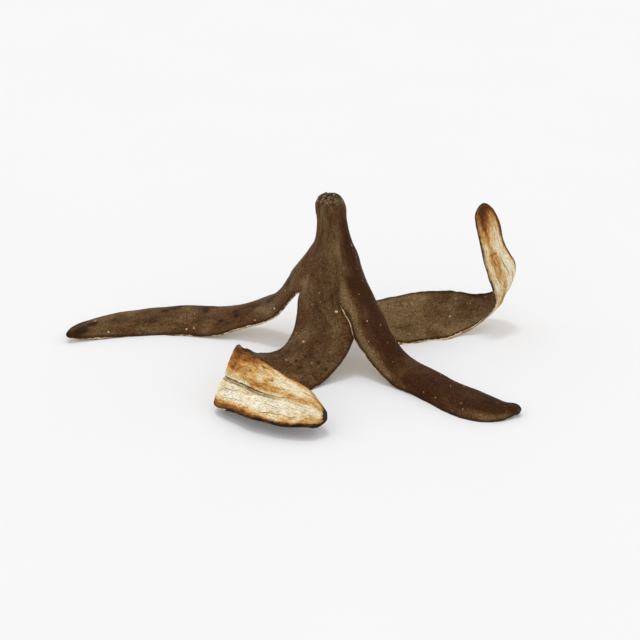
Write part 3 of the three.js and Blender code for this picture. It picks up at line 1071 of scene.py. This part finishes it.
# Blossom end: place on the arched strip's tip, heading, half sizes along it, aside and up.
BLOSSOM_CENTRE = (87.0, -71.9, 3.2)
BLOSSOM_HEADING = (0.82, 0.42, 0.38)
BLOSSOM_RADII = (1.9, 1.6, 1.5)
BLOSSOM_AROUND, BLOSSOM_ALONG = 28, 20


def build_blossom_end(materials):
    """Blossom end on the arched strip's tip: a rough stub, an ellipsoid with noise on its radius."""
    turn = np.linspace(0, 2 * np.pi, BLOSSOM_AROUND, endpoint=False)[None, :]
    pole = np.linspace(0, np.pi, BLOSSOM_ALONG + 2)[1:-1, None]
    ball = np.stack(
        [np.cos(pole) + 0 * turn, np.sin(pole) * np.cos(turn), np.sin(pole) * np.sin(turn)], -1
    )
    tips = np.array([[1.0, 0, 0], [-1.0, 0, 0]])
    points = np.concatenate([ball.reshape(-1, 3), tips])
    rough = 1 + 0.16 * noise(points * 2.4 + 4.0, 81) + 0.08 * noise(points * 5.5, 82)
    points = points * rough[:, None] * np.array(BLOSSOM_RADII)
    heading = unit(np.array(BLOSSOM_HEADING))
    side = unit(np.cross([0, 0, 1.0], heading))
    up = np.cross(heading, side)
    places = np.array(BLOSSOM_CENTRE) + points @ np.stack([heading, side, up])
    places[:, 2] = np.maximum(places[:, 2] - SETTLE, 0)
    first_tip = BLOSSOM_AROUND * BLOSSOM_ALONG
    grid = np.arange(first_tip).reshape(BLOSSOM_ALONG, BLOSSOM_AROUND)
    grid = np.concatenate([grid, grid[:, :1]], 1)
    store = Store()
    store.quads(grid, 0)
    store.fan(first_tip, grid[0], 0)
    store.fan(first_tip + 1, grid[-1], 0, turned=True)
    return write_plain("blossom_end", places, np.concatenate(store.faces), materials)


# -------------------------------------------------------------- materials ---


def linear(red, green, blue):
    """A colour given as it shows on a screen, 0 to 255, turned into linear light."""
    shown = np.array([red, green, blue]) / 255
    light = np.where(shown <= 0.04045, shown / 12.92, ((shown + 0.055) / 1.055) ** 2.4)
    return tuple(float(v) for v in light)


class Finish:
    """A material's node tree, with short ways to add its usual nodes."""

    def __init__(self, name):
        self.material = bpy.data.materials.new(name)
        self.material.use_nodes = True
        self.tree = self.material.node_tree
        self.shader = self.tree.nodes["Principled BSDF"]

    def node(self, kind, values=None, **settings):
        """A new node with its settings, and values or links for its sockets."""
        made = self.tree.nodes.new(kind)
        for key, value in settings.items():
            setattr(made, key, value)
        for key, value in (values or {}).items():
            self.set(made.inputs[key], value)
        return made

    def set(self, socket, value):
        """Links another node's socket, or sets a plain value."""
        if isinstance(value, bpy.types.NodeSocket):
            self.tree.links.new(value, socket)
        else:
            socket.default_value = value

    def field(self, name, vector=False):
        """One of the attributes stored on the mesh."""
        made = self.node("ShaderNodeAttribute", attribute_name=name)
        return made.outputs["Vector" if vector else "Fac"]

    def place(self):
        """Place in the piece's own coordinates."""
        return self.node("ShaderNodeTexCoord").outputs["Object"]

    def stretched(self, vector, around, along):
        """Grain coordinates scaled by one number round the fruit and another along it."""
        made = self.node("ShaderNodeVectorMath", operation="MULTIPLY")
        self.set(made.inputs[0], vector)
        self.set(made.inputs[1], (around, around, along))
        return made.outputs["Vector"]

    def noise(self, vector, scale, detail, rough, warp=0.0):
        """Cloudy noise, from 0 to 1."""
        sockets = {"Scale": scale, "Detail": detail, "Roughness": rough, "Distortion": warp}
        return self.node("ShaderNodeTexNoise", {"Vector": vector, **sockets}).outputs["Fac"]

    def cells(self, vector, scale):
        """Random cells: the distance from each cell's point, and a random colour for each cell."""
        made = self.node("ShaderNodeTexVoronoi", {"Vector": vector, "Scale": scale})
        return made.outputs["Distance"], made.outputs["Color"]

    def math(self, operation, a, b=0.0):
        """One sum on one or two values."""
        made = self.node("ShaderNodeMath", operation=operation)
        self.set(made.inputs[0], a)
        self.set(made.inputs[1], b)
        return made.outputs["Value"]

    def plus(self, a, b):
        return self.math("ADD", a, b)

    def minus(self, a, b):
        return self.math("SUBTRACT", a, b)

    def times(self, a, b):
        return self.math("MULTIPLY", a, b)

    def step(self, value, low, high, a=0.0, b=1.0):
        """Eases from a to b as the value goes from low to high."""
        made = self.node(
            "ShaderNodeMapRange",
            {"Value": value, "From Min": low, "From Max": high, "To Min": a, "To Max": b},
            interpolation_type="SMOOTHSTEP",
        )
        return made.outputs["Result"]

    def ramp(self, value, *stops):
        """A colour ramp through (position, colour) stops."""
        made = self.node("ShaderNodeValToRGB", {"Fac": value})
        ramp = made.color_ramp
        while len(ramp.elements) < len(stops):
            ramp.elements.new(0.5)
        for element, (position, colour) in zip(ramp.elements, stops):
            element.position = position
            element.color = (*colour, 1)
        return made.outputs["Color"]

    def mix(self, share, a, b, blend="MIX"):
        """Blends two colours by a share."""
        made = self.node("ShaderNodeMix", data_type="RGBA", blend_type=blend)
        for socket, value in zip((made.inputs[0], made.inputs[6], made.inputs[7]), (share, a, b)):
            if isinstance(value, tuple):
                value = (*value, 1)
            self.set(socket, value)
        return made.outputs[2]

    def bump(self, height, distance, strength, under=None):
        """Fine relief from a pattern, over another relief if one is given."""
        made = self.node("ShaderNodeBump", {"Height": height, "Distance": distance, "Strength": strength})
        if under is not None:
            self.set(made.inputs["Normal"], under)
        return made.outputs["Normal"]

    def finish(self, colour, roughness, normal, specular, tint=(1.0, 1.0, 1.0)):
        """Sets the shader's sockets and hands over the material."""
        self.set(self.shader.inputs["Base Color"], colour)
        self.set(self.shader.inputs["Roughness"], roughness)
        self.set(self.shader.inputs["Normal"], normal)
        self.set(self.shader.inputs["Specular IOR Level"], specular)
        self.set(self.shader.inputs["Specular Tint"], (*tint, 1))
        return self.material


def spots(finish, vector, scale, share, size, edge):
    """Ragged spots: in the chosen share of random cells, within a size of the cell's point."""
    distance, tone = finish.cells(vector, scale)
    channels = finish.node("ShaderNodeSeparateColor", {"Color": tone})
    chosen = finish.math("GREATER_THAN", channels.outputs["Red"], 1 - share)
    wide = finish.times(channels.outputs["Green"], size * 0.6)
    reach = finish.plus(wide, size * 0.5)
    ragged = finish.noise(vector, scale * 7, 2, 0.6)
    ragged = finish.step(ragged, 0.3, 0.7, -0.45 * size, 0.45 * size)
    inside = finish.minus(finish.plus(reach, ragged), distance)
    return finish.times(finish.step(inside, 0, edge), chosen)


def skin_colour(finish, grain, colours):
    """Brown mottling of the outer skin: patches, red blushes, pebbles, spots and specks, with the painted
    shade and painted highlight that the tone carries.
    """
    tone = finish.field("tone")
    patches = finish.noise(finish.stretched(grain, 1, 0.6), 85, 6, 0.64, 0.4)
    value = finish.plus(patches, finish.times(tone, 0.17))
    colour = finish.ramp(
        value,
        (0.34, tuple(colours.skin_dark)),
        (0.50, tuple(colours.skin_middle)),
        (0.68, tuple(colours.skin_light)),
    )
    redness = finish.minus(finish.noise(grain, 46, 4, 0.6), finish.times(tone, 0.2))
    colour = finish.mix(finish.step(redness, 0.46, 0.6, 0, 0.8), colour, tuple(colours.skin_red))
    # Where the tone is dark, partly the skin's own brown and partly painted shade, the colour is
    # darkened.
    broken = finish.plus(tone, finish.step(patches, 0.25, 0.75, -0.45, 0.45))
    shaded = finish.step(broken, -0.2, -1.0)
    colour = finish.mix(shaded, colour, (0.52, 0.42, 0.31), "MULTIPLY")
    pebbles = finish.noise(grain, 1250, 3, 0.72)
    dots = finish.ramp(pebbles, (0.34, (0.30,) * 3), (0.5, (0.92,) * 3), (0.66, (1.8,) * 3))
    colour = finish.mix(0.85, colour, dots, "MULTIPLY")
    dark = spots(finish, finish.stretched(grain, 1, 0.6), 300, 0.5, 0.27, 0.12)
    dark = finish.times(dark, finish.field("spotted"))
    colour = finish.mix(finish.times(dark, 0.85), colour, linear(32, 20, 12))
    ragged = finish.step(pebbles, 0.35, 0.65, -0.15, 0.15)
    mark = finish.step(finish.plus(finish.field("mark"), ragged), 0.22, 0.42, 0, 0.85)
    colour = finish.mix(mark, colour, linear(40, 23, 14))
    specks = spots(finish, grain, 380, 0.3, 0.14, 0.06)
    flakes = spots(finish, grain, 170, 0.42, 0.11, 0.03)
    pale = finish.math("MAXIMUM", finish.times(specks, 0.8), flakes)
    colour = finish.mix(pale, colour, linear(214, 186, 138))
    return colour, patches, pebbles


def make_skin(colours):
    """Outer skin: matte dried brown leather with mottling and a pebbled surface."""
    finish = Finish("dried_skin")
    grain = finish.field("grain", vector=True)
    colour, patches, pebbles = skin_colour(finish, grain, colours)
    near_border = finish.step(finish.field("bare"), -1.6, 0.2, 0, 0.7)
    colour = finish.mix(near_border, colour, linear(38, 25, 15))
    coarse = finish.noise(finish.stretched(grain, 1, 0.6), 420, 4, 0.6)
    normal = finish.bump(coarse, 0.0008, 0.7)
    normal = finish.bump(pebbles, 0.0004, 0.8, normal)
    roughness = finish.step(patches, 0.3, 0.7, 0.68, 0.52)
    return finish.finish(colour, roughness, normal, 0.09, (1.0, 0.84, 0.66))


def pith_colour(finish, grain, colours):
    """Cream pith that stains from ochre to brown, with fibres, specks and the crack's shade."""
    fibres = finish.noise(finish.stretched(grain, 1, 0.22), 1300, 4, 0.65)
    blotch = finish.noise(finish.stretched(grain, 1, 0.55), 240, 6, 0.7, 0.5)
    wide = finish.noise(finish.stretched(grain, 1, 0.6), 70, 4, 0.55)
    value = finish.times(finish.field("stain"), 0.6)
    for amount, pattern in ((1.05, blotch), (0.6, wide), (0.5, fibres)):
        value = finish.plus(value, finish.times(pattern, amount))
    value = finish.minus(value, 0.84)
    colour = finish.ramp(
        value,
        (0.12, tuple(colours.pith_light)),
        (0.32, tuple(colours.pith_cream)),
        (0.50, tuple(colours.pith_ochre)),
        (0.68, tuple(colours.pith_orange)),
        (0.90, tuple(colours.pith_brown)),
    )
    grains = finish.noise(finish.stretched(grain, 1, 0.5), 2100, 2, 0.6)
    shade = finish.ramp(grains, (0.36, (0.52, 0.44, 0.33)), (0.54, (1.0, 1.0, 1.0)))
    colour = finish.mix(0.75, colour, shade, "MULTIPLY")
    threads = finish.noise(finish.stretched(grain, 1, 0.12), 1500, 2, 0.5)
    threads = finish.step(threads, 0.62, 0.68, 0, 0.35)
    colour = finish.mix(threads, colour, linear(140, 96, 48))
    stained = finish.step(value, 0.25, 0.6, 0.25, 1)
    for scale, share, size in ((260, 0.34, 0.24), (520, 0.36, 0.3)):
        dark = spots(finish, finish.stretched(grain, 1, 0.7), scale, share, size, 0.1)
        dark = finish.times(dark, finish.times(stained, 0.7))
        colour = finish.mix(dark, colour, linear(92, 52, 22))
    return colour, fibres, blotch


def crack_colour(finish, grain, colour):
    """Crack in the pith: a thin dark line of painted shade in its depth, then a torn slope striped along
    the flap.
    """
    wobble = finish.noise(grain, 900, 3, 0.6)
    beside = finish.field("crack_beside")
    beside = finish.plus(beside, finish.step(wobble, 0.25, 0.75, -0.25, 0.25))
    strength = finish.field("crack_strength")
    stripes = finish.noise(finish.stretched(grain, 1, 0.1), 1900, 2, 0.5)
    slope = finish.times(finish.step(beside, -0.1, 0.2), finish.step(beside, 2.3, 1.5))
    slope = finish.times(slope, finish.step(strength, 0.15, 0.6))
    torn = finish.ramp(
        stripes,
        (0.38, linear(92, 66, 34)),
        (0.50, linear(150, 122, 70)),
        (0.62, linear(196, 170, 112)),
    )
    colour = finish.mix(finish.times(slope, 0.85), colour, torn)
    # Painted shade: a thin dark line along the crack's steep side.
    line = finish.math("ABSOLUTE", finish.plus(beside, 0.05))
    reach = finish.step(strength, 0.02, 0.95, 0.05, 0.26)
    line = finish.step(finish.minus(reach, line), -0.1, 0.16)
    line = finish.times(line, finish.step(strength, 0.0, 0.12))
    return finish.mix(finish.times(line, 0.95), colour, linear(40, 26, 14))


def make_pith(colours):
    """Inner side: matte cream pith with fibres and stains, and a dark bare rim."""
    finish = Finish("dried_pith")
    grain = finish.field("grain", vector=True)
    colour, fibres, blotch = pith_colour(finish, grain, colours)
    colour = crack_colour(finish, grain, colour)
    wobble = finish.step(finish.noise(grain, 520, 5, 0.65), 0.2, 0.8, -0.6, 0.6)
    bare = finish.plus(finish.field("bare"), wobble)
    colour = finish.mix(finish.step(bare, -1.1, -0.1, 0, 0.6), colour, linear(128, 80, 38))
    colour = finish.mix(finish.step(bare, -0.15, 0.2, 0, 0.95), colour, linear(50, 35, 23))
    normal = finish.bump(fibres, 0.0006, 0.8)
    normal = finish.bump(blotch, 0.0006, 0.6, normal)
    return finish.finish(colour, 0.88, normal, 0.15)


def make_border(colours):
    """Torn border: dark skin on the outer side, cream pith in the middle, a brown inner rim."""
    finish = Finish("torn_border")
    place = finish.place()
    wobble = finish.noise(place, 700, 3, 0.6)
    depth = finish.plus(finish.field("depth"), finish.step(wobble, 0.2, 0.8, -0.2, 0.2))
    worn = finish.step(finish.field("bare"), 0.62, 0.72, 0, 0.9)
    depth = finish.minus(depth, worn)
    colour = finish.ramp(
        depth,
        (0.18, linear(44, 31, 19)),
        (0.32, linear(176, 128, 74)),
        (0.48, tuple(colours.pith_cream)),
        (0.74, linear(206, 172, 116)),
        (0.95, linear(112, 70, 34)),
    )
    aged = finish.step(finish.noise(place, 90, 3, 0.6), 0.45, 0.6, 0, 0.7)
    colour = finish.mix(aged, colour, linear(150, 102, 54), "MULTIPLY")
    dirt = finish.step(finish.noise(place, 230, 4, 0.65), 0.5, 0.6, 0, 0.9)
    clean = finish.field("clean_border")
    aged = finish.times(aged, finish.minus(1.0, clean))
    dirt = finish.times(dirt, finish.minus(1.0, clean))
    colour = finish.mix(dirt, colour, linear(84, 56, 32))
    normal = finish.bump(wobble, 0.0005, 0.8)
    return finish.finish(colour, 0.88, normal, 0.15)


def make_stem_end():
    """Cut end of the stem: dark, fibrous, with a few paler broken strands."""
    finish = Finish("stem_cut_end")
    place = finish.place()
    lumps = finish.noise(place, 480, 5, 0.72, 0.6)
    colour = finish.ramp(
        lumps,
        (0.34, linear(28, 19, 12)),
        (0.46, linear(70, 52, 34)),
        (0.57, linear(112, 88, 60)),
        (0.65, linear(190, 166, 126)),
    )
    normal = finish.bump(finish.noise(place, 1300, 4, 0.7), 0.0006, 1.0)
    return finish.finish(colour, 0.82, normal, 0.15)


def make_fibre():
    """Loose strings of the pith: ochre, darker along some stretches."""
    finish = Finish("pith_string")
    place = finish.place()
    tone = finish.noise(place, 140, 3, 0.6)
    colour = finish.ramp(
        tone,
        (0.35, linear(206, 180, 128)),
        (0.52, linear(164, 118, 62)),
        (0.68, linear(98, 62, 30)),
    )
    normal = finish.bump(finish.noise(place, 2600, 2, 0.5), 0.0002, 0.6)
    return finish.finish(colour, 0.84, normal, 0.25)


def make_blossom():
    """Dried blossom end: nearly black brown with a crumbly surface."""
    finish = Finish("blossom_crust")
    place = finish.place()
    lumps = finish.noise(place, 700, 4, 0.7)
    colour = finish.ramp(
        lumps, (0.32, linear(24, 17, 12)), (0.55, linear(54, 40, 27)), (0.75, linear(108, 84, 56))
    )
    normal = finish.bump(lumps, 0.0007, 0.9)
    return finish.finish(colour, 0.8, normal, 0.3)


def make_floor(colour):
    """Pale paper floor with a hardly visible mottle."""
    finish = Finish("paper_floor")
    place = finish.place()
    tone = finish.noise(place, 9, 2, 0.5)
    shade = finish.ramp(tone, (0.3, tuple(v * 0.992 for v in colour)), (0.7, tuple(colour)))
    normal = finish.bump(finish.noise(place, 300, 2, 0.5), 0.0001, 0.2)
    return finish.finish(shade, 0.9, normal, 0.1)


# ------------------------------------------------------------- properties ---


def number_property(name, description, default, low, high):
    """A plain number with its least and most value."""
    return FloatProperty(name=name, description=description, default=default, min=low, max=high)


def count_property(name, description, default, low, high):
    """A whole number with its least and most value."""
    return IntProperty(name=name, description=description, default=default, min=low, max=high)


def length_property(name, description, default, low, high):
    """A length in metres with its least and most value."""
    return FloatProperty(
        name=name, description=description, default=default, min=low, max=high,
        subtype="DISTANCE", unit="LENGTH", precision=5,
    )


def angle_property(name, description, degrees):
    """An angle, given in degrees and kept in radians."""
    return FloatProperty(
        name=name, description=description, default=float(np.radians(degrees)),
        subtype="ANGLE", unit="ROTATION",
    )


def colour_property(name, description, shown):
    """A colour, given as it shows on a screen and kept in linear light."""
    return FloatVectorProperty(
        name=name, description=description, default=linear(*shown), size=3, min=0, max=1,
        subtype="COLOR",
    )


class PeelSizes(bpy.types.PropertyGroup):
    """Sizes of the peel that change its look but not its place."""

    skin_thickness: length_property("Skin thickness", "Wall in mid strip", 0.002, 0.001, 0.004)
    wrinkle_height: length_property("Wrinkle height", "Height of the skin's wrinkles", 0.00022, 0, 0.001)
    fibre_height: length_property("Fibre height", "Height of the pith's ridges", 0.00016, 0, 0.001)
    raggedness: length_property("Raggedness", "How far torn borders wander", 0.0005, 0, 0.003)
    border_curl: length_property("Border curl", "How far borders curl inward", 0.0009, 0, 0.004)
    crack_depth: length_property("Crack depth", "Depth of the crack in the flap", 0.0009, 0, 0.002)
    cut_roughness: length_property("Cut roughness", "Relief of the stem's cut end", 0.0007, 0, 0.002)
    row_spacing: length_property("Row spacing", "Mesh rows along a strip", 0.00085, 0.0005, 0.005)
    columns: count_property("Columns", "Mesh columns across a strip", 36, 8, 60)
    wall_rows: count_property("Wall rows", "Mesh rows inside a torn border", 3, 1, 6)


class PeelColours(bpy.types.PropertyGroup):
    """Colours of the skin and the pith."""

    skin_dark: colour_property("Skin, dark", "Darkest brown of the skin", (62, 42, 25))
    skin_middle: colour_property("Skin, middle", "Main brown of the skin", (95, 70, 43))
    skin_light: colour_property("Skin, light", "Olive brown of the skin", (122, 97, 66))
    skin_red: colour_property("Skin, red", "Red brown blush on the skin", (86, 54, 30))
    pith_light: colour_property("Pith, light", "Lightest pith", (248, 242, 222))
    pith_cream: colour_property("Pith, cream", "Main pith colour", (238, 224, 188))
    pith_ochre: colour_property("Pith, ochre", "First stain on the pith", (216, 174, 106))
    pith_orange: colour_property("Pith, orange", "Deeper stain on the pith", (168, 106, 46))
    pith_brown: colour_property("Pith, brown", "Deepest stain on the pith", (88, 52, 25))


class StageSettings(bpy.types.PropertyGroup):
    """Camera, lights and floor."""

    camera_height: angle_property("Camera angle", "How far the camera looks down", 25)
    camera_distance: length_property("Camera distance", "From the stem's foot", 0.8, 0.3, 3)
    camera_lens: number_property("Lens", "Focal length in millimetres", 86.54, 20, 200)
    camera_aside: length_property("Camera aside", "Left of the stem's foot", 0.0068, -1, 1)
    camera_above: length_property("Camera above", "Above the stem's foot in view", 0.0156, -1, 1)
    key_height: angle_property("Key height", "How high the key light stands over the floor", 82)
    key_turn: angle_property("Key turn", "Key light's side, anticlockwise from the right", 125)
    key_spread: angle_property("Key spread", "Size of the key light, softening its shadows", 11)
    key_strength: number_property("Key light", "Strength of the key light", 0.6, 0, 20)
    sky_strength: number_property("Sky", "Strength of the even light from all round", 0.95, 0, 5)
    floor_colour: colour_property("Floor", "Colour of the floor", (235, 235, 236))


# -------------------------------------------------------------- operators ---


def hand_over(piece):
    """Lets a finished piece ride on the frame's only body."""
    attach(piece, "root")


class PEEL_OT_body(bpy.types.Operator):
    """Build the peel itself: stem, crown and four strips"""

    bl_idname = "banana.peel_body"
    bl_label = "Build Peel"

    def execute(self, context):
        sizes, colours = context.scene.peel_sizes, context.scene.peel_colours
        skin, pith, border = make_skin(colours), make_pith(colours), make_border(colours)
        materials = (skin, pith, border, make_stem_end())
        piece = build_peel(sizes, materials)
        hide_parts("peel")
        hand_over(piece)
        return {"FINISHED"}


class PEEL_OT_pith_fibres(bpy.types.Operator):
    """Build the loose strings that lie on the pith"""

    bl_idname = "banana.pith_fibres"
    bl_label = "Build Pith Fibres"

    def execute(self, context):
        strings = build_pith_fibres(context.scene.peel_sizes, (make_fibre(),))
        hand_over(strings)
        return {"FINISHED"}


class PEEL_OT_ends(bpy.types.Operator):
    """Build the strands on the stem's cut end and the dried blossom end"""

    bl_idname = "banana.peel_ends"
    bl_label = "Build Ends"

    def execute(self, context):
        stem = bpy.data.materials.get("stem_cut_end") or make_stem_end()
        hand_over(build_stem_fibres((stem,)))
        hand_over(build_blossom_end((make_blossom(),)))
        return {"FINISHED"}


def add_sun(settings):
    """A distant soft light, by its height, its turn, its spread and its strength."""
    data = bpy.data.lights.new("key_light", "SUN")
    data.angle = settings.key_spread
    data.energy = settings.key_strength
    light = bpy.data.objects.new("key_light", data)
    height, turn = settings.key_height, settings.key_turn
    source = Vector((np.cos(height) * np.cos(turn), np.cos(height) * np.sin(turn), np.sin(height)))
    light.rotation_euler = source.to_track_quat("Z", "Y").to_euler()
    bpy.context.scene.collection.objects.link(light)


# Half the floor's side and the camera's furthest view in metres, and its sensor in millimetres.
FLOOR_HALF = 15.0
SENSOR_WIDTH = 36
VIEW_END = 100


def add_floor(settings):
    """A wide flat square under the peel."""
    corners = [(FLOOR_HALF * x, FLOOR_HALF * y, 0) for x, y in ((-1, -1), (1, -1), (1, 1), (-1, 1))]
    mesh = bpy.data.meshes.new("floor")
    mesh.from_pydata(corners, [], [(0, 1, 2, 3)])
    mesh.materials.append(make_floor(settings.floor_colour))
    floor = bpy.data.objects.new("floor", mesh)
    bpy.context.scene.collection.objects.link(floor)


def add_sky(strength):
    """Even white light from all round."""
    world = bpy.data.worlds.new("even_sky")
    world.use_nodes = True
    sky = world.node_tree.nodes["Background"]
    sky.inputs["Color"].default_value = (1.0, 1.0, 1.0, 1)
    sky.inputs["Strength"].default_value = strength
    bpy.context.scene.world = world


def add_camera(settings):
    """A camera that looks down toward +Y, past the stem's foot by the settings' offsets."""
    tilt = settings.camera_height
    forward = Vector((0, np.cos(tilt), -np.sin(tilt)))
    up = Vector((0, np.sin(tilt), np.cos(tilt)))
    right = Vector((1, 0, 0))
    place = Vector(stem_place()) - forward * settings.camera_distance
    place += up * settings.camera_above - right * settings.camera_aside
    data = bpy.data.cameras.new("camera")
    data.lens = settings.camera_lens
    data.sensor_width = SENSOR_WIDTH
    data.clip_end = VIEW_END
    camera = bpy.data.objects.new("camera", data)
    turn = Matrix((right, up, -forward)).transposed()
    camera.matrix_world = Matrix.Translation(place) @ turn.to_4x4()
    bpy.context.scene.collection.objects.link(camera)
    bpy.context.scene.camera = camera


class PEEL_OT_stage(bpy.types.Operator):
    """Build the floor, the lights and the camera"""

    bl_idname = "banana.peel_stage"
    bl_label = "Build Stage"

    def execute(self, context):
        settings = context.scene.peel_stage
        add_floor(settings)
        add_sun(settings)
        add_sky(settings.sky_strength)
        add_camera(settings)
        # Colours show as they are set, with no film-like curve over them.
        context.scene.view_settings.view_transform = "Standard"
        return {"FINISHED"}


class PEEL_PT_panel(bpy.types.Panel):
    """Lists the steps that build the peel"""

    bl_label = "Banana Peel"
    bl_idname = "PEEL_PT_panel"
    bl_space_type = "VIEW_3D"
    bl_region_type = "UI"
    bl_category = "Peel"

    def draw(self, context):
        for operator in OPERATORS:
            self.layout.operator(operator.bl_idname)
        scene = context.scene
        for group in (scene.peel_sizes, scene.peel_colours, scene.peel_stage):
            column = self.layout.column()
            for name in group.__annotations__:
                column.prop(group, name)


OPERATORS = (PEEL_OT_body, PEEL_OT_pith_fibres, PEEL_OT_ends, PEEL_OT_stage)
CLASSES = (PeelSizes, PeelColours, StageSettings, *OPERATORS, PEEL_PT_panel)


def register():
    """Adds the classes, and one group of each kind of setting to the scene."""
    for kind in CLASSES:
        bpy.utils.register_class(kind)
    bpy.types.Scene.peel_sizes = PointerProperty(type=PeelSizes)
    bpy.types.Scene.peel_colours = PointerProperty(type=PeelColours)
    bpy.types.Scene.peel_stage = PointerProperty(type=StageSettings)


def unregister():
    """Takes the settings and the classes away again."""
    del bpy.types.Scene.peel_stage
    del bpy.types.Scene.peel_colours
    del bpy.types.Scene.peel_sizes
    for kind in reversed(CLASSES):
        bpy.utils.unregister_class(kind)


def main():
    """Builds every piece in order."""
    register()
    bpy.ops.banana.peel_body()
    bpy.ops.banana.pith_fibres()
    bpy.ops.banana.peel_ends()
    bpy.ops.banana.peel_stage()


if __name__ == "__main__":
    main()
